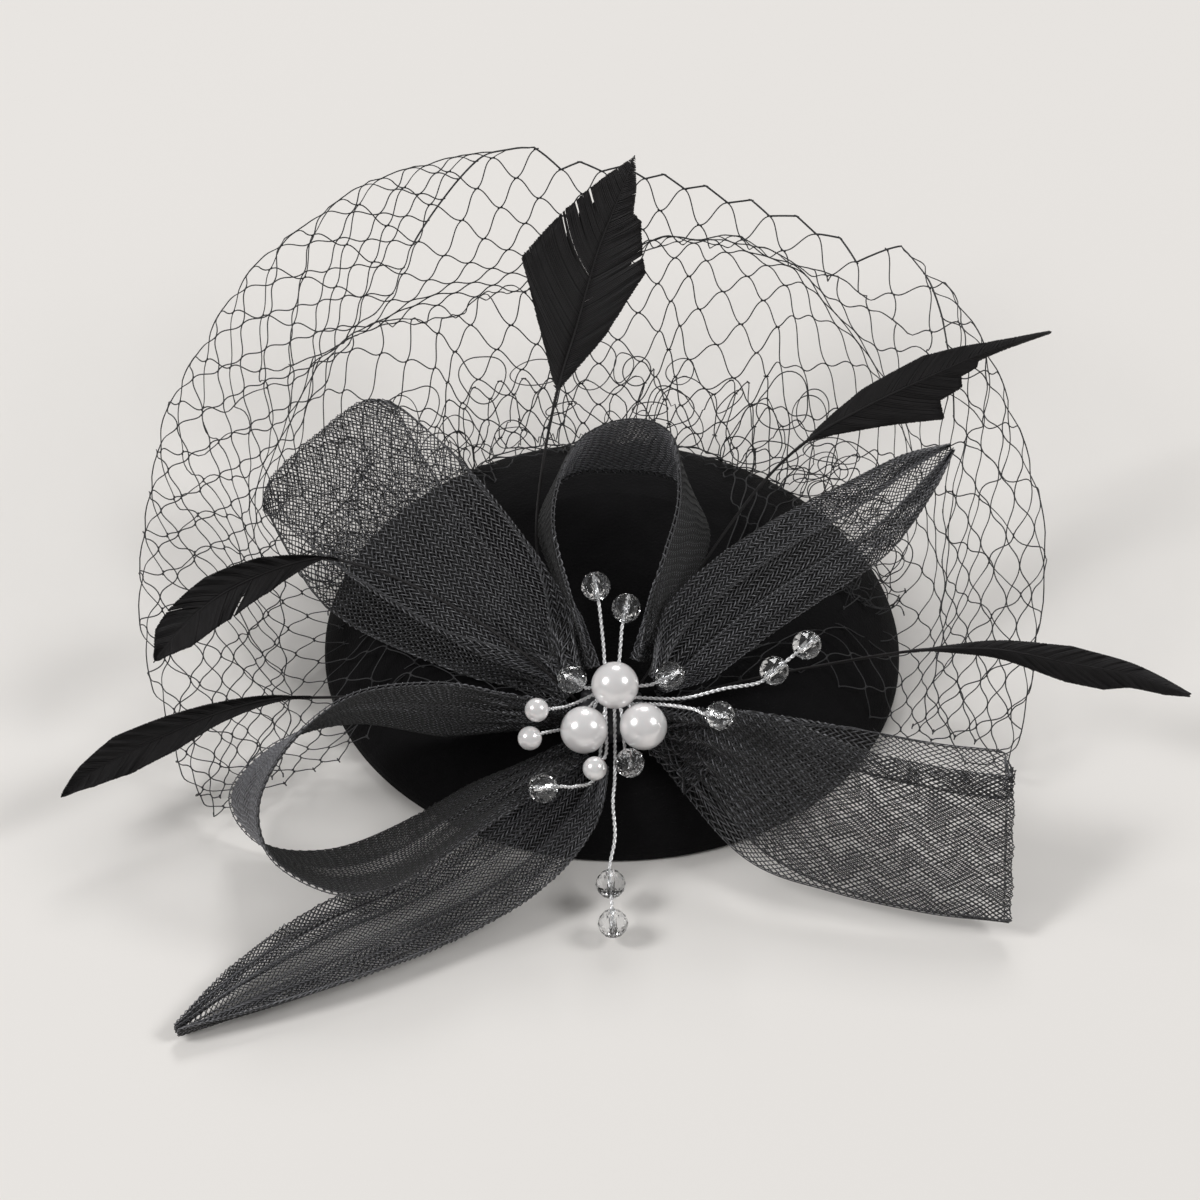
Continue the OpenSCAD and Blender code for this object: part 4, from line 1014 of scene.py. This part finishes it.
# A net laid on a grid: knots at (i + half on odd rows, j), each side running between two knots.
# Ripples: where the net is drawn in it waves along its normal, wave x sin p, and slides along itself, slide
# x cos p
def layNet(grid, columns, rows, wave, slide, waves, seed, thread=1.0, edgeThread=1.5, endRow=None,
           pinch=None):
    rng = np.random.default_rng(seed)
    jitterU = rng.normal(0, 0.03, (2 * columns + 3, rows + 1)) / columns
    jitterT = rng.normal(0, 0.04, (2 * columns + 3, rows + 1)) / rows
    wanted = np.full(2 * columns + 3,
                     rows) if endRow is None else endRow(np.arange(2 * columns + 3) / (2 * columns))
    lastRow = selvagePath(wanted)
    phases = rng.uniform(0, 2 * math.pi, 4)

    def surface(u, t):
        if pinch:
            t = t - pinch[0](u) * (t - pinch[1]) * np.exp(-((t - pinch[1]) / pinch[2]) ** 2)
        drift = 1.3 * np.sin(2 * math.pi * u * 3 + phases[0]) + 1.1 * np.sin(t * 5 + phases[1] + u * 9)
        p = 2 * math.pi * waves * u + drift
        base = onGrid(grid, u, t)
        du = (onGrid(grid, u + 0.004, t) - onGrid(grid, u - 0.004, t))
        dt = (onGrid(grid, u, t + 0.01) - onGrid(grid, u, t - 0.01))
        alongU = unit(du)
        normal = unit(np.cross(du, dt))
        w, s = wave(u, t), slide(u, t)
        q = 1.7 * p + phases[2] + t * 7
        return base + normal * (w * (0.9 * np.sin(p) + 0.25 * np.sin(q)))[...,
            None] + alongU * (s * np.cos(p))[..., None], normal

    i, j = np.meshgrid(np.arange(columns + 1), np.arange(rows), indexing="ij")
    sides = []
    for step in (0, 1):
        here = 2 * i + (j % 2)
        there = here + (1 if step else -1)
        ok = (there >= 0) & (there <= 2 * columns) & (here <= 2 * columns)
        sides.append(np.stack([here[ok], j[ok], there[ok], j[ok] + 1], -1))
    sides = np.concatenate(sides)
    sides = sides[(sides[:, 1] <= lastRow[sides[:, 0]]) & (sides[:, 3] <= lastRow[sides[:, 2]])]
    peak = np.zeros(len(lastRow), bool)
    peak[1:-1] = (lastRow[1:-1] > lastRow[:-2]) & (lastRow[1:-1] > lastRow[2:])

    def knotAt(h, k):
        inner = (k > 0) & (k < lastRow[h])
        crest = veil["crest"] * (peak[h] & (k == lastRow[h]))
        return h / (2 * columns) + jitterU[h, k], np.clip((k - crest) / rows + jitterT[h, k] * inner, 0, 1)

    u0, t0 = knotAt(sides[:, 0], sides[:, 1])
    u1, t1 = knotAt(sides[:, 2], sides[:, 3])
    f = np.linspace(0, 1, veil["points"])[None]
    u = u0[:, None] + (u1 - u0)[:, None] * f
    last = (sides[:, 1] == lastRow[sides[:, 0]]) & (sides[:, 3] == lastRow[sides[:, 2]]) & (sides[:,
        3] < rows - 2)
    sway = np.where(last, 0, veil["sway"])[:, None]
    t = t0[:, None] + (t1 - t0)[:, None] * (f - sway * np.sin(2 * math.pi * f))
    place, normal = surface(np.clip(u, 0, 1), t)
    width = np.where(last, edgeThread, 1.0)[:, None] * veil["thread"] / 2 * thread * np.ones_like(f)
    threads = tubes(place, normal, width, 4, capped=False)
    h, k = np.meshgrid(np.arange(2 * columns + 1), np.arange(rows + 1), indexing="ij")
    ok = ((h + k) % 2 == 0) & (k <= lastRow[h])
    u, t = knotAt(h[ok], k[ok])
    u = np.clip(u, 0.001, 0.999)
    centre, normal = surface(u, t)
    ahead, _ = surface(u + 0.0006, t)
    behind, _ = surface(u - 0.0006, t)
    way = unit(ahead - behind)
    f = np.linspace(-0.5, 0.5, 7)[None, :, None]
    path = centre[:, None] + way[:, None] * f * veil["knotLength"] * thread
    swell = np.array([0.35, 1, 0.7, 1.05, 0.7, 1, 0.35])[None] * veil["knotRadius"] * thread
    knots = tubes(path, np.repeat(normal[:, None], 7, 1), np.repeat(swell, len(centre), 0), 5)
    return [threads, knots]


def fade(t, low, high):
    return 1 - smoothStep(t, low, high)


def veilEndRow(u):
    angle = np.interp(u * (len(veilRows) - 1), np.arange(len(veilRows)), [row[0] for row in veilRows])
    low, high = veil["openEdge"]
    beyond = np.maximum(low - angle, angle - high)
    extra = (veil["rows"] - veil["foldRow"]) * smoothStep(beyond, 0, veil["endSpan"])
    return veil["foldRow"] + np.round(extra).astype(int)


def ridgePinch(u):
    angle = np.interp(u * (len(veilRows) - 1), np.arange(len(veilRows)), [row[0] for row in veilRows])
    return np.interp(angle, *veil["pinched"])


# How far the net is drawn in: strongest near the felt, hardly at all at the edge, and again where it ends
foldShare = veil["foldRow"] / veil["rows"]


def veilWave(u, t):
    drawnIn = 0.0026 * fade(t, 0.25, 0.55) * smoothStep(t, 0.08, 0.28)
    return drawnIn + 0.0006 + 0.0010 * smoothStep(t, foldShare + 0.1, 1)


def veilSlide(u, t):
    return 0.0020 * fade(t, 0.2, 0.5)


outer = layNet(veilGrid, veil["columns"], veil["rows"], veilWave, veilSlide, 11, 21, endRow=veilEndRow,
               pinch=(ridgePinch, *veil["ridge"]))

# Close curls stand round the back of the felt where the net is gathered most
curlRows = [[2, 56, 67, 13], [20, 58, 66, 20], [45, 60, 70, 27], [70, 60, 70, 30], [95, 60, 69, 26],
            [120, 60, 70, 28], [145, 60, 72, 24], [165, 58, 68, 18], [182, 56, 67, 12]]


def curlSection(row):
    angle, lowR, highR, highZ = row
    way = np.array([math.cos(math.radians(angle)), math.sin(math.radians(angle))])
    f = np.linspace(0, 1, 31)[:, None]
    r = (52 + (lowR - 52) * np.minimum(f * 3, 1) + (highR - lowR) * smoothStep(f, 0.3, 1)) * mm * scaleX
    floor = np.array([domeHeight(v) for v in r]) + veil["clear"] * 1.5
    z = np.maximum(floor * fade(f, 0.35, 0.9) + highZ * mm * scaleZ * smoothStep(f, 0.25, 1), floor)
    return np.concatenate([way * r, z], -1)


curlGrid = np.stack([curlSection(row) for row in rowsAt(curlRows, np.linspace(0, len(curlRows) - 1, 161))])


def curlWave(u, t):
    return 0.0028 * smoothStep(t, 0.05, 0.5)


def curlSlide(u, t):
    return 0.0026 + 0 * t


curls = layNet(curlGrid, 32, 4, curlWave, curlSlide, 7, 45, thread=0.95)


# Rings where the gathered threads curl right round: centre + (across cos f + up sin f) x r (1 + a sin 2f +
# b sin 3f)
def curlRings(count, low, high, seed):
    rng = np.random.default_rng(seed)
    centre = onGrid(curlGrid, rng.uniform(0.04, 0.96, count), rng.uniform(0.35, 0.98, count))
    facing = unit(turned([0, 0, 1]) + rng.normal(0, 0.55, (count, 3)))
    across = unit(np.cross(facing, rng.normal(0, 1, (count, 3))))
    up = np.cross(facing, across)
    f = np.linspace(0, 2 * math.pi, 49)[None]
    odd = rng.uniform(-0.14, 0.14, (2, count, 1))
    r = rng.uniform(low, high, (count, 1)) * (1 + odd[0] * np.sin(2 * f) + odd[1] * np.sin(3 * f))
    path = centre[:, None] + across[:, None] * (r * np.cos(f))[..., None] + up[:,
        None] * (r * np.sin(f))[..., None]
    return tubes(path, np.repeat(facing[:, None], 49, 1), veil["thread"] * 0.48, 4, capped=False)


curls.append(curlRings(veil["rings"], *veil["ringRadius"], 12))

veilPiece = makeMesh("veil_net_threads", *joined(outer + curls))
finished(veilPiece, "headpiece", finishes["net"], ["veil_right", "veil_rear", "veil_left"])

# The area is not the net's own: it is the least that a sheet may have, because bare threads cover far less
# than their outline
print("veil faces", len(veilPiece.data.polygons))

# ---- floor, light and camera ----
room = {
    "floorColour": (0.815, 0.79, 0.762),
    "worldColour": (0.93, 0.925, 0.915),
    "worldStrength": 0.3,
    "floorSize": 6.0,
    "floorDrop": 0.0005,
}
floorMaterial, floorTree, floorShader = newMaterial("paleFloor")
floorTone = placeGroup(floorTree, toneTree, Vector=objectPlace(floorTree), Scale=3.0,
                       Dark=(*[c * 0.99 for c in room["floorColour"]], 1), Light=(*room["floorColour"], 1))
wire(floorTree, (floorTone.outputs["Color"], floorShader.inputs["Base Color"]))
floorShader.inputs["Roughness"].default_value = 0.9
half = room["floorSize"] / 2
floor = makeMesh("floor", [[-half, -half, -room["floorDrop"]], [half, -half, -room["floorDrop"]],
                           [half, half, -room["floorDrop"]], [-half, half, -room["floorDrop"]]],
                           [[0, 1, 2, 3]], smooth=False)
floor.data.materials.append(floorMaterial)

world = bpy.data.worlds.new("softRoom")
bpy.context.scene.world = world
world.use_nodes = True
world.node_tree.nodes["Background"].inputs["Color"].default_value = (*room["worldColour"], 1)
world.node_tree.nodes["Background"].inputs["Strength"].default_value = room["worldStrength"]

aim = np.array([-0.003, 0.018, 0.0])


def lookFrom(thing, spot, target, roll=0.0):
    way = Vector(target) - Vector(spot)
    turn = way.to_track_quat("-Z", "Y").to_matrix().to_4x4()
    thing.matrix_world = Matrix.Translation(Vector(spot)) @ turn @ Matrix.Rotation(math.radians(roll), 4, "Z")


lamps = {
    "leftBox": dict(spot=(-1.6, -0.5, 1.5), size=0.7, power=23.7),
    "rightBox": dict(spot=(1.6, -0.3, 1.5), size=0.7, power=16.0),
    "backBox": dict(spot=(0.1, 1.8, 1.6), size=0.7, power=16.0),
}
for name, lamp in lamps.items():
    light = bpy.data.lights.new(name, "AREA")
    light.shape, light.size, light.energy = "SQUARE", lamp["size"], lamp["power"]
    holder = bpy.data.objects.new(name, light)
    bpy.context.scene.collection.objects.link(holder)
    lookFrom(holder, lamp["spot"], (0, 0, 0.02))

view = {"distance": 3.5, "elevation": 44.5, "frameWidth": 0.2727, "roll": 1.3}
camera = bpy.data.objects.new("camera", bpy.data.cameras.new("camera"))
bpy.context.scene.collection.objects.link(camera)
camera.data.angle = 2 * math.atan(view["frameWidth"] / 2 / view["distance"])
camera.data.clip_start, camera.data.clip_end = 0.01, 20
tilt = math.radians(view["elevation"])
spot = aim + view["distance"] * np.array([0, -math.cos(tilt), math.sin(tilt)])
lookFrom(camera, spot, aim, view["roll"])
bpy.context.scene.camera = camera
bpy.context.scene.view_settings.view_transform = "Standard"
print("room ready")
